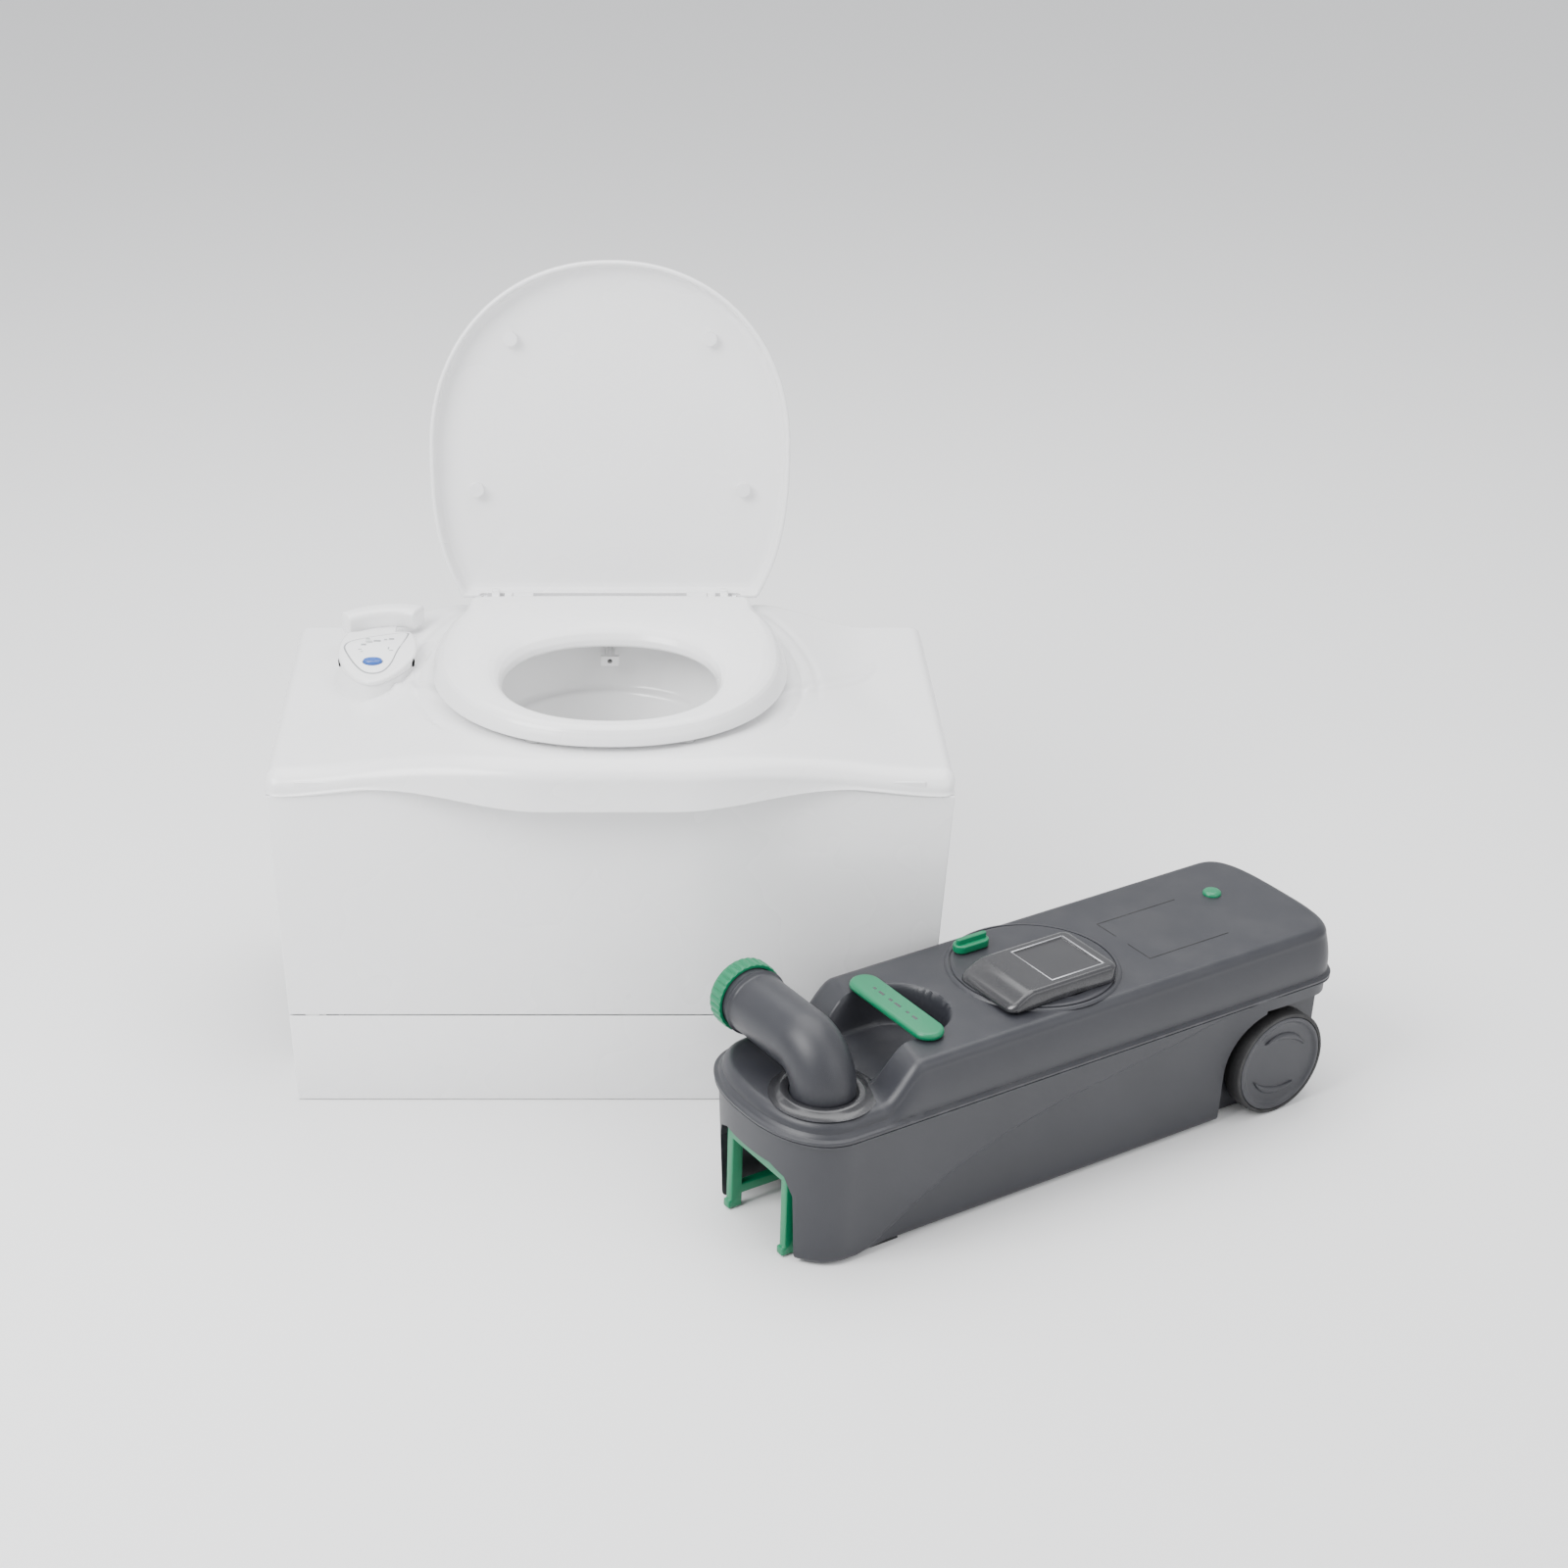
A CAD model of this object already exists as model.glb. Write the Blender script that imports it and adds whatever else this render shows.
"""Looks of the bench cassette toilet and its wheeled waste cassette."""
import logging
import math
from dataclasses import dataclass, field
from enum import Enum
from typing import Callable, Iterable, Optional, Sequence

import bmesh
import bpy
from mathutils import Matrix, Vector


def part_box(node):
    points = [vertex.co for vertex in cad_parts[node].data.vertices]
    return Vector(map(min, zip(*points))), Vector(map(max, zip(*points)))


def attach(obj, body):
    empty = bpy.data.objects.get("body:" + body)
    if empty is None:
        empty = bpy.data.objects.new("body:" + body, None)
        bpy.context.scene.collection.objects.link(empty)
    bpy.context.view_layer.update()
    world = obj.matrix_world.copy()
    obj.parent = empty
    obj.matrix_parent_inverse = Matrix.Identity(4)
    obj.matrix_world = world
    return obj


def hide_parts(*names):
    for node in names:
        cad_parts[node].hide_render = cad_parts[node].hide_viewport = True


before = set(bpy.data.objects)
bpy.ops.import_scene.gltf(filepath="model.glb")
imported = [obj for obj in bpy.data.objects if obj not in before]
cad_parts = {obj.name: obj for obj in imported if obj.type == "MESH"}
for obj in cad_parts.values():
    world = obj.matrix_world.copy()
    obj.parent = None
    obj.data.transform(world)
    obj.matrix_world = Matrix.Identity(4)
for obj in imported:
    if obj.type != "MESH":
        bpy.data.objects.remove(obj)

LOG = logging.getLogger("cassette_toilet")
MM = 0.001
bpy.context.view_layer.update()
Place = Callable[[float, float], Vector]


# ------------------------------------------------------------------ small maths
def smooth(value: float, low: float, high: float) -> float:
    """Return 0 below low, 1 above high and an S-curve between."""
    share = min(max((value - low) / (high - low), 0.0), 1.0)
    return share * share * (3.0 - 2.0 * share)


def mix(first: float, second: float, share: float) -> float:
    """Return the value a share of the way from first to second."""
    return first + (second - first) * share


def power(value: float, exponent: float) -> float:
    """Return value to a power, keeping its sign."""
    return math.copysign(abs(value) ** exponent, value)


def along_knots(knots: Sequence[tuple], value: float) -> tuple:
    """Interpolate between knots; the last knot also holds beyond itself.

    Args:
        knots: rows whose first entry rises and is compared with value.
        value: where to read the table.

    Returns:
        The row's other entries at value.
    """
    for first, second in zip(knots, knots[1:]):
        if value <= second[0]:
            share = (value - first[0]) / (second[0] - first[0])
            return tuple(mix(low, high, share) for low, high in zip(first[1:], second[1:]))
    return tuple(knots[-1][1:])


def along_levels(levels: Sequence[tuple], share: float) -> tuple:
    """Interpolate between rows that are spaced evenly from share 0 to 1.

    Args:
        levels: the rows.
        share: how far along them, from 0 to 1.

    Returns:
        The row's entries there.
    """
    walk = share * (len(levels) - 1)
    index = min(int(walk + 1e-9), len(levels) - 2)
    return tuple(mix(low, high, walk - index) for low, high in zip(levels[index], levels[index + 1]))


# ------------------------------------------------------------------ bmesh helpers
def surface(steps_across: int, steps_along: int, place: Place) -> bmesh.types.BMesh:
    """Lay a grid over a surface.

    Args:
        steps_across: faces in the first direction.
        steps_along: faces in the second direction.
        place: gives the point in metres for two shares from 0 to 1.

    Returns:
        The bmesh, with edges that meet merged.
    """
    mesh = bmesh.new()
    bmesh.ops.create_grid(mesh, x_segments=steps_across, y_segments=steps_along, size=0.5)
    for vertex in mesh.verts:
        vertex.co = place(vertex.co.x + 0.5, vertex.co.y + 0.5)
    bmesh.ops.remove_doubles(mesh, verts=mesh.verts, dist=2e-6)
    bmesh.ops.recalc_face_normals(mesh, faces=mesh.faces)
    return mesh


def block(low: Sequence[float], high: Sequence[float], round_edge: float = 1.0,
          segments: int = 3) -> bmesh.types.BMesh:
    """Make a box in millimetres with rounded edges.

    Args:
        low: the lower corner or height, in millimetres.
        high: the upper corner or height, in millimetres.
        round_edge: the width of the edge's rounding, in millimetres.
        segments: faces round the curve.

    Returns:
        the bmesh, in metres.
    """
    mesh = bmesh.new()
    bmesh.ops.create_cube(mesh, size=1.0)
    size = Vector([(b - a) * MM for a, b in zip(low, high)])
    middle = Vector([(a + b) / 2 * MM for a, b in zip(low, high)])
    bmesh.ops.scale(mesh, vec=size, verts=mesh.verts)
    bmesh.ops.translate(mesh, vec=middle, verts=mesh.verts)
    soften(mesh, round_edge, segments)
    return mesh


def soften(mesh: bmesh.types.BMesh, width: float, segments: int = 3, angle: float = 30.0) -> None:
    """Bevel every edge sharper than an angle by a width in millimetres.

    Args:
        mesh: the bmesh to change.
        width: the bevel's width, in millimetres.
        segments: faces round the curve.
        angle: edges sharper than this many degrees count.
    """
    sharp = [edge for edge in mesh.edges if edge.is_manifold and edge.calc_face_angle(0.0) > math.radians(angle)]
    if width > 0 and sharp:
        bmesh.ops.bevel(mesh, geom=sharp, offset=width * MM, segments=segments, profile=0.5, affect="EDGES",
                        material=-1, clamp_overlap=True)


def spun(profile: Sequence[tuple], steps: int = 64) -> bmesh.types.BMesh:
    """Spin (radius, height) points in millimetres about the Z axis.

    Args:
        profile: the (radius, height) points, in millimetres.
        steps: faces along the sweep.

    Returns:
        the bmesh, in metres.
    """
    mesh = bmesh.new()
    corners = [mesh.verts.new((radius * MM, 0.0, height * MM)) for radius, height in profile]
    edges = [mesh.edges.new(pair) for pair in zip(corners, corners[1:])]
    bmesh.ops.spin(mesh, geom=corners + edges, cent=(0, 0, 0), axis=(0, 0, 1), angle=2 * math.pi, steps=steps,
                   use_merge=True, use_duplicate=False)
    bmesh.ops.remove_doubles(mesh, verts=mesh.verts, dist=2e-6)
    bmesh.ops.recalc_face_normals(mesh, faces=mesh.faces)
    return mesh


def prism(points: Iterable[tuple], shift: tuple) -> bmesh.types.BMesh:
    """Extrude a flat outline of (x, y, z) millimetre points by a millimetre vector.

    Args:
        points: the outline's points, in millimetres.
        shift: how far and which way to extrude, in millimetres.

    Returns:
        the bmesh, in metres.
    """
    mesh = bmesh.new()
    face = mesh.faces.new([mesh.verts.new(Vector(point) * MM) for point in points])
    raised = bmesh.ops.extrude_face_region(mesh, geom=[face])
    lifted = [item for item in raised["geom"] if isinstance(item, bmesh.types.BMVert)]
    bmesh.ops.translate(mesh, vec=Vector(shift) * MM, verts=lifted)
    bmesh.ops.recalc_face_normals(mesh, faces=mesh.faces)
    return mesh


def outline_block(points: Sequence[tuple], low: float, high: float, round_edge: float = 1.0,
                  segments: int = 3) -> bmesh.types.BMesh:
    """Raise a flat outline of (x, y) millimetre points from one height to another.

    Args:
        points: the outline's points, in millimetres.
        low: the lower corner or height, in millimetres.
        high: the upper corner or height, in millimetres.
        round_edge: the width of the edge's rounding, in millimetres.
        segments: faces round the curve.

    Returns:
        the bmesh, in metres.
    """
    mesh = prism(((x, y, low) for x, y in points), (0.0, 0.0, high - low))
    soften(mesh, round_edge, segments)
    return mesh


def egg_point(turn: float, half: float, ahead: float, behind: float, front_power: float,
              back_power: float) -> tuple:
    """Return (x, y) on an egg outline; y is negative ahead of its middle.

    Args:
        turn: the angle round the outline, in radians.
        half: the half width.
        ahead: the reach ahead of the middle.
        behind: the reach behind the middle.
        front_power: how square the front is; 2 is round.
        back_power: how square the back is; 2 is round.

    Returns:
        the point (x, y).
    """
    forward = math.sin(turn) < 0
    exponent = 2.0 / (front_power if forward else back_power)
    reach = ahead if forward else behind
    return half * power(math.cos(turn), exponent), reach * power(math.sin(turn), exponent)


def join(*meshes: bmesh.types.BMesh) -> bmesh.types.BMesh:
    """Put several bmeshes into the first.

    Args:
        meshes: the bmeshes; all but the first are freed.

    Returns:
        the first bmesh, holding them all.
    """
    whole = meshes[0]
    for part in meshes[1:]:
        holder = bpy.data.meshes.new("holder")
        part.to_mesh(holder)
        whole.from_mesh(holder)
        bpy.data.meshes.remove(holder)
        part.free()
    return whole


def tube(centre: Callable[[float], Vector], radius: Callable[[float], float], steps: int = 48,
         rounds: int = 40, side: Vector = Vector((1, 0, 0))) -> bmesh.types.BMesh:
    """Sweep a round section in millimetres along a plane curve whose plane has the normal side.

    Args:
        centre: gives the centre line's point in millimetres for a share.
        radius: gives the section's radius in millimetres for a share.
        steps: faces along the sweep.
        rounds: faces round the section.
        side: the normal of the curve's plane.

    Returns:
        the bmesh, in metres.
    """
    def place(turn: float, share: float) -> Vector:
        """Return the tube's point for a share round the section and a share along the curve."""
        step = 1e-3
        ahead = centre(min(share + step, 1.0)) - centre(max(share - step, 0.0))
        across = side.cross(ahead.normalized())
        angle = turn * 2 * math.pi
        return (centre(share) + (side * math.cos(angle) + across * math.sin(angle)) * radius(share)) * MM
    return surface(rounds, steps, place)


def cylinder_between(first: Sequence[float], second: Sequence[float], radius: float,
                     segments: int = 96) -> bmesh.types.BMesh:
    """Make a closed cylinder between two millimetre points.

    Args:
        first: one end's middle.
        second: the other end's middle.
        radius: the radius, in millimetres.
        segments: faces round the curve.

    Returns:
        the bmesh, in metres.
    """
    start, stop = Vector(first) * MM, Vector(second) * MM
    mesh = bmesh.new()
    bmesh.ops.create_cone(mesh, cap_ends=True, segments=segments, radius1=radius * MM, radius2=radius * MM,
                          depth=(stop - start).length)
    turn = (stop - start).to_track_quat("Z", "Y").to_matrix().to_4x4()
    bmesh.ops.transform(mesh, matrix=Matrix.Translation((start + stop) / 2) @ turn, verts=mesh.verts)
    return mesh


def cut_away(target: bpy.types.Object, cutter: bmesh.types.BMesh) -> None:
    """Take a closed bmesh out of a piece with an exact boolean, and apply it.

    Args:
        target: the piece to change.
        cutter: the closed bmesh to take out; it is freed.
    """
    mesh = bpy.data.meshes.new("cutter")
    cutter.to_mesh(mesh)
    cutter.free()
    tool = bpy.data.objects.new("cutter", mesh)
    bpy.context.scene.collection.objects.link(tool)
    modifier = target.modifiers.new("cut", "BOOLEAN")
    modifier.operation = "DIFFERENCE"
    modifier.solver = "EXACT"
    modifier.object = tool
    bake_modifiers(target)
    bpy.data.objects.remove(tool)
    bpy.data.meshes.remove(mesh)


def bake_modifiers(target: bpy.types.Object) -> None:
    """Replace a piece's mesh by what its modifiers make of it.

    Args:
        target: the piece to change.
    """
    graph = bpy.context.evaluated_depsgraph_get()
    graph.update()
    made = bpy.data.meshes.new_from_object(target.evaluated_get(graph))
    old = target.data
    target.modifiers.clear()
    target.data = made
    bpy.data.meshes.remove(old)


# ------------------------------------------------------------------ shader node groups
class Finish(Enum):
    """Named finishes of the object's pieces."""

    WHITE_GLOSS = "white_gloss"
    WHITE_SATIN = "white_satin"
    WHITE_BOWL = "white_bowl"
    PANEL = "panel_label"
    LINE_GREY = "line_grey"
    BLUE = "button_blue"
    LENS = "lens"
    SLATE = "slate_grain"
    SLATE_SMOOTH = "slate_smooth"
    SLATE_DARK = "slate_dark"
    GREEN = "green_trim"
    RUBBER = "black_rubber"
    BUFFER = "grey_rubber"
    STEEL = "plated_steel"
    TRAY = "moulded_grey"
    HOSE = "hose_white"
    BRIGHT = "bright_rim"


def new_group(name: str, inputs: Sequence[tuple], outputs: Sequence[tuple]) -> bpy.types.NodeTree:
    """Start a shader node group with named sockets.

    Args:
        name: the group's name.
        inputs: (name, socket type, default) for each input.
        outputs: (name, socket type) for each output.

    Returns:
        The group, holding its input and output nodes.
    """
    group = bpy.data.node_groups.new(name, "ShaderNodeTree")
    for label, kind, default in inputs:
        socket = group.interface.new_socket(name=label, in_out="INPUT", socket_type=kind)
        socket.default_value = default
    for label, kind in outputs:
        group.interface.new_socket(name=label, in_out="OUTPUT", socket_type=kind)
    group.nodes.new("NodeGroupInput").name = "in"
    group.nodes.new("NodeGroupOutput").name = "out"
    return group


def add(tree: bpy.types.NodeTree, kind: str, **settings: object) -> bpy.types.Node:
    """Add a node and set its properties.

    Args:
        tree: the node tree to add to.
        kind: the node's type.
        settings: the node's properties.

    Returns:
        the node.
    """
    node = tree.nodes.new(kind)
    for key, value in settings.items():
        setattr(node, key, value)
    return node


def math_node(tree: bpy.types.NodeTree, operation: str, first: object,
              second: object = 0.0) -> bpy.types.NodeSocket:
    """Add a maths node; each operand is a number or an output socket.

    Args:
        tree: the node tree to add to.
        operation: the operation's name.
        first: the first value, point or operand.
        second: the second value, point or operand.

    Returns:
        the result's socket.
    """
    node = add(tree, "ShaderNodeMath", operation=operation)
    for slot, value in enumerate((first, second)):
        if isinstance(value, bpy.types.NodeSocket):
            tree.links.new(value, node.inputs[slot])
        else:
            node.inputs[slot].default_value = value
    return node.outputs[0]


def ramp(tree: bpy.types.NodeTree, value: bpy.types.NodeSocket, low: float, high: float, start: float = 0.0,
         stop: float = 1.0) -> bpy.types.NodeSocket:
    """Map a value smoothly from one range to another and clamp it.

    Args:
        tree: the node tree to add to.
        value: the socket to map.
        low: the input that gives start.
        high: the input that gives stop.
        start: the output at low.
        stop: the output at high.

    Returns:
        the result's socket.
    """
    node = add(tree, "ShaderNodeMapRange", interpolation_type="SMOOTHSTEP")
    for label, number in (("From Min", low), ("From Max", high), ("To Min", start), ("To Max", stop)):
        node.inputs[label].default_value = number
    tree.links.new(value, node.inputs["Value"])
    return node.outputs["Result"]


def noise(tree: bpy.types.NodeTree, coords: bpy.types.NodeSocket, scale: object, detail: float = 3.0,
          rough: float = 0.55) -> bpy.types.NodeSocket:
    """Add a noise texture and return its factor.

    Args:
        tree: the node tree to add to.
        coords: the coordinates' socket.
        scale: a number or a socket.
        detail: how many octaves.
        rough: how strong the finer octaves are.

    Returns:
        the factor's socket.
    """
    node = add(tree, "ShaderNodeTexNoise")
    tree.links.new(coords, node.inputs["Vector"])
    if isinstance(scale, bpy.types.NodeSocket):
        tree.links.new(scale, node.inputs["Scale"])
    else:
        node.inputs["Scale"].default_value = scale
    node.inputs["Detail"].default_value = detail
    node.inputs["Roughness"].default_value = rough
    return node.outputs["Fac"]


def grain_group() -> bpy.types.NodeTree:
    """Spark-eroded mould grain: fine pits over a slow swell.

    Returns:
        the group.
    """
    tree = new_group("mould_grain", [("Scale", "NodeSocketFloat", 900.0), ("Depth", "NodeSocketFloat", 1.0)],
                     [("Height", "NodeSocketFloat"), ("Mottle", "NodeSocketFloat")])
    coords = add(tree, "ShaderNodeTexCoord").outputs["Object"]
    given = tree.nodes["in"].outputs
    fine = noise(tree, coords, given["Scale"], 2.0)
    pits = add(tree, "ShaderNodeTexVoronoi", feature="F1")
    tree.links.new(coords, pits.inputs["Vector"])
    tree.links.new(given["Scale"], pits.inputs["Scale"])
    swell = noise(tree, coords, 9.0, 2.0)
    joined = math_node(tree, "ADD", math_node(tree, "MULTIPLY", pits.outputs["Distance"], 0.6), fine)
    height = math_node(tree, "MULTIPLY", joined, given["Depth"])
    tree.links.new(height, tree.nodes["out"].inputs["Height"])
    tree.links.new(ramp(tree, swell, 0.3, 0.7), tree.nodes["out"].inputs["Mottle"])
    return tree


def wear_group() -> bpy.types.NodeTree:
    """Edges rubbed lighter, broken up by noise.

    Returns:
        the group.
    """
    tree = new_group("edge_wear", [("Amount", "NodeSocketFloat", 0.5)], [("Mask", "NodeSocketFloat")])
    coords = add(tree, "ShaderNodeTexCoord").outputs["Object"]
    edge = ramp(tree, add(tree, "ShaderNodeNewGeometry").outputs["Pointiness"], 0.52, 0.60)
    broken = ramp(tree, noise(tree, coords, 60.0, 5.0), 0.42, 0.62)
    mask = math_node(tree, "MULTIPLY", math_node(tree, "MULTIPLY", edge, broken), tree.nodes["in"].outputs["Amount"])
    tree.links.new(mask, tree.nodes["out"].inputs["Mask"])
    return tree


def dust_group() -> bpy.types.NodeTree:
    """Faint dust that settles on faces that look up and in hollows.

    Returns:
        the group.
    """
    tree = new_group("settled_dust", [("Amount", "NodeSocketFloat", 0.2)], [("Mask", "NodeSocketFloat")])
    coords = add(tree, "ShaderNodeTexCoord").outputs["Object"]
    geometry = add(tree, "ShaderNodeNewGeometry")
    parts = add(tree, "ShaderNodeSeparateXYZ")
    tree.links.new(geometry.outputs["Normal"], parts.inputs[0])
    upward = ramp(tree, parts.outputs["Z"], 0.3, 1.0)
    hollow = ramp(tree, geometry.outputs["Pointiness"], 0.5, 0.44)
    cloud = ramp(tree, noise(tree, coords, 24.0, 5.0), 0.35, 0.8)
    both = math_node(tree, "ADD", math_node(tree, "MULTIPLY", upward, 0.5), hollow)
    mask = math_node(tree, "MULTIPLY", math_node(tree, "MULTIPLY", both, cloud), tree.nodes["in"].outputs["Amount"])
    tree.links.new(mask, tree.nodes["out"].inputs["Mask"])
    return tree


@dataclass(frozen=True)
class Plastic:
    """One moulded, rubber or metal finish built on the Principled shader."""

    finish: Finish
    color: tuple
    roughness: float
    worn: tuple = (0.5, 0.5, 0.5)
    wear: float = 0.3
    dust: float = 0.1
    grain_scale: float = 900.0
    grain_depth: float = 0.1
    metallic: float = 0.0
    coat: float = 0.0
    transmission: float = 0.0
    mottle: float = 0.05

    def build(self, groups: dict) -> bpy.types.Material:
        """Make the material from the shared groups.

        Args:
            groups: the shared shader groups by name.

        Returns:
            the material.
        """
        material = bpy.data.materials.new(self.finish.value)
        material.use_nodes = True
        tree = material.node_tree
        shader = tree.nodes["Principled BSDF"]
        shader.inputs["Metallic"].default_value = self.metallic
        shader.inputs["Coat Weight"].default_value = self.coat
        shader.inputs["Coat Roughness"].default_value = 0.12
        shader.inputs["Transmission Weight"].default_value = self.transmission
        if self.transmission:
            shader.inputs["Base Color"].default_value = (*self.color, 1.0)
            shader.inputs["Roughness"].default_value = self.roughness
            return material
        grain = add(tree, "ShaderNodeGroup", node_tree=groups["grain"])
        grain.inputs["Scale"].default_value = self.grain_scale
        grain.inputs["Depth"].default_value = 1.0
        wear = add(tree, "ShaderNodeGroup", node_tree=groups["wear"])
        wear.inputs["Amount"].default_value = self.wear
        dust = add(tree, "ShaderNodeGroup", node_tree=groups["dust"])
        dust.inputs["Amount"].default_value = self.dust
        shade = self._blend(tree, grain.outputs["Mottle"], self.color,
                            tuple(channel * (1 - self.mottle) for channel in self.color))
        shade = self._blend(tree, wear.outputs["Mask"], shade, self.worn)
        shade = self._blend(tree, dust.outputs["Mask"], shade, (0.42, 0.41, 0.39))
        tree.links.new(shade, shader.inputs["Base Color"])
        rough = math_node(tree, "MULTIPLY", grain.outputs["Mottle"], 0.06)
        rough = math_node(tree, "ADD", rough, self.roughness)
        rough = math_node(tree, "ADD", rough, math_node(tree, "MULTIPLY", dust.outputs["Mask"], 0.3))
        tree.links.new(rough, shader.inputs["Roughness"])
        bump = add(tree, "ShaderNodeBump")
        bump.inputs["Strength"].default_value = self.grain_depth
        bump.inputs["Distance"].default_value = 0.0003
        tree.links.new(grain.outputs["Height"], bump.inputs["Height"])
        tree.links.new(bump.outputs["Normal"], shader.inputs["Normal"])
        return material

    @staticmethod
    def _blend(tree: bpy.types.NodeTree, factor: bpy.types.NodeSocket, first: object,
               second: tuple) -> bpy.types.NodeSocket:
        """Mix a colour or socket towards a second colour.

        Args:
            tree: the node tree to add to.
            factor: how much of the second colour.
            first: a colour or a socket.
            second: the second colour.

        Returns:
            the mixed colour's socket.
        """
        node = add(tree, "ShaderNodeMix", data_type="RGBA")
        tree.links.new(factor, node.inputs["Factor"])
        if isinstance(first, bpy.types.NodeSocket):
            tree.links.new(first, node.inputs["A"])
        else:
            node.inputs["A"].default_value = (*first, 1.0)
        node.inputs["B"].default_value = (*second, 1.0)
        return node.outputs["Result"]


FINISHES = (
    Plastic(Finish.WHITE_GLOSS, (0.86, 0.86, 0.865), 0.24, (0.93, 0.93, 0.93), 0.3, 0.03, 700.0, 0.04, coat=0.35,
            mottle=0.012),
    Plastic(Finish.WHITE_SATIN, (0.80, 0.80, 0.81), 0.42, (0.9, 0.9, 0.9), 0.3, 0.05, 800.0, 0.12, mottle=0.02),
    Plastic(Finish.WHITE_BOWL, (0.80, 0.80, 0.80), 0.16, (0.88, 0.88, 0.88), 0.2, 0.02, 500.0, 0.03, coat=0.5,
            mottle=0.02),
    Plastic(Finish.PANEL, (0.88, 0.885, 0.89), 0.35, (0.9, 0.9, 0.9), 0.1, 0.03, 900.0, 0.06, mottle=0.01),
    Plastic(Finish.LINE_GREY, (0.30, 0.31, 0.32), 0.4, (0.4, 0.4, 0.4), 0.1, 0.03, 900.0, 0.06),
    Plastic(Finish.BLUE, (0.005, 0.085, 0.40), 0.25, (0.2, 0.35, 0.7), 0.3, 0.03, 900.0, 0.05, coat=0.4),
    Plastic(Finish.LENS, (0.9, 0.95, 0.92), 0.05, transmission=1.0),
    Plastic(Finish.SLATE, (0.021, 0.022, 0.028), 0.38, (0.06, 0.06, 0.07), 0.4, 0.05, 1300.0, 0.30, mottle=0.09),
    Plastic(Finish.SLATE_SMOOTH, (0.019, 0.019, 0.022), 0.22, (0.07, 0.07, 0.08), 0.4, 0.03, 700.0, 0.08, coat=0.4,
            mottle=0.08),
    Plastic(Finish.SLATE_DARK, (0.010, 0.010, 0.012), 0.6, (0.04, 0.04, 0.04), 0.3, 0.05, 900.0, 0.25),
    Plastic(Finish.GREEN, (0.0, 0.175, 0.075), 0.32, (0.01, 0.26, 0.13), 0.4, 0.02, 900.0, 0.12, mottle=0.08),
    Plastic(Finish.RUBBER, (0.006, 0.006, 0.007), 0.6, (0.03, 0.03, 0.03), 0.5, 0.1, 500.0, 0.4),
    Plastic(Finish.BUFFER, (0.45, 0.45, 0.45), 0.6, (0.5, 0.5, 0.5), 0.3, 0.1, 500.0, 0.3),
    Plastic(Finish.STEEL, (0.58, 0.58, 0.60), 0.28, (0.75, 0.75, 0.75), 0.4, 0.08, 1500.0, 0.1, metallic=1.0),
    Plastic(Finish.TRAY, (0.33, 0.34, 0.35), 0.52, (0.45, 0.45, 0.45), 0.4, 0.15, 900.0, 0.25),
    Plastic(Finish.HOSE, (0.62, 0.63, 0.63), 0.5, (0.7, 0.7, 0.7), 0.2, 0.1, 500.0, 0.3),
    Plastic(Finish.BRIGHT, (0.55, 0.55, 0.58), 0.18, (0.7, 0.7, 0.7), 0.2, 0.02, 900.0, 0.03, metallic=0.9),
)


class Paints:
    """The made materials, looked up by finish."""

    def __init__(self) -> None:
        """Build the shared groups and each material once."""
        groups = {"grain": grain_group(), "wear": wear_group(), "dust": dust_group()}
        self.made = {plastic.finish: plastic.build(groups) for plastic in FINISHES}

    def dress_node(self, node: str, finish: Finish) -> None:
        """Give a CAD node one of the finishes.

        Args:
            node: the CAD node.
            finish: the finish to use.
        """
        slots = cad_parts[node].data.materials
        slots.clear()
        slots.append(self.made[finish])


PAINTS = Paints()


def settle(name: str, mesh: bmesh.types.BMesh, body: str, finish: Finish,
           nodes: Iterable[str] = (), angle: float = 35.0, matrix: Optional[Matrix] = None) -> bpy.types.Object:
    """Turn a bmesh into a finished piece that rides on a body.

    Args:
        name: the piece's name.
        mesh: its bmesh, in metres.
        body: the body that it rides on.
        finish: what it is made of.
        nodes: CAD nodes that it stands for.
        angle: the crease angle in degrees.
        matrix: moves the mesh to its place first.

    Returns:
        The piece's object, at the origin.
    """
    if matrix is not None:
        bmesh.ops.transform(mesh, matrix=matrix, verts=mesh.verts)
    data = bpy.data.meshes.new(name)
    mesh.to_mesh(data)
    mesh.free()
    data.shade_smooth()
    data.set_sharp_from_angle(angle=math.radians(angle))
    piece = bpy.data.objects.new(name, data)
    bpy.context.scene.collection.objects.link(piece)
    data.materials.append(PAINTS.made[finish])
    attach(piece, body)
    if nodes:
        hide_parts(*nodes)
    LOG.info("%s: %d faces", name, len(data.polygons))
    return piece


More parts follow.
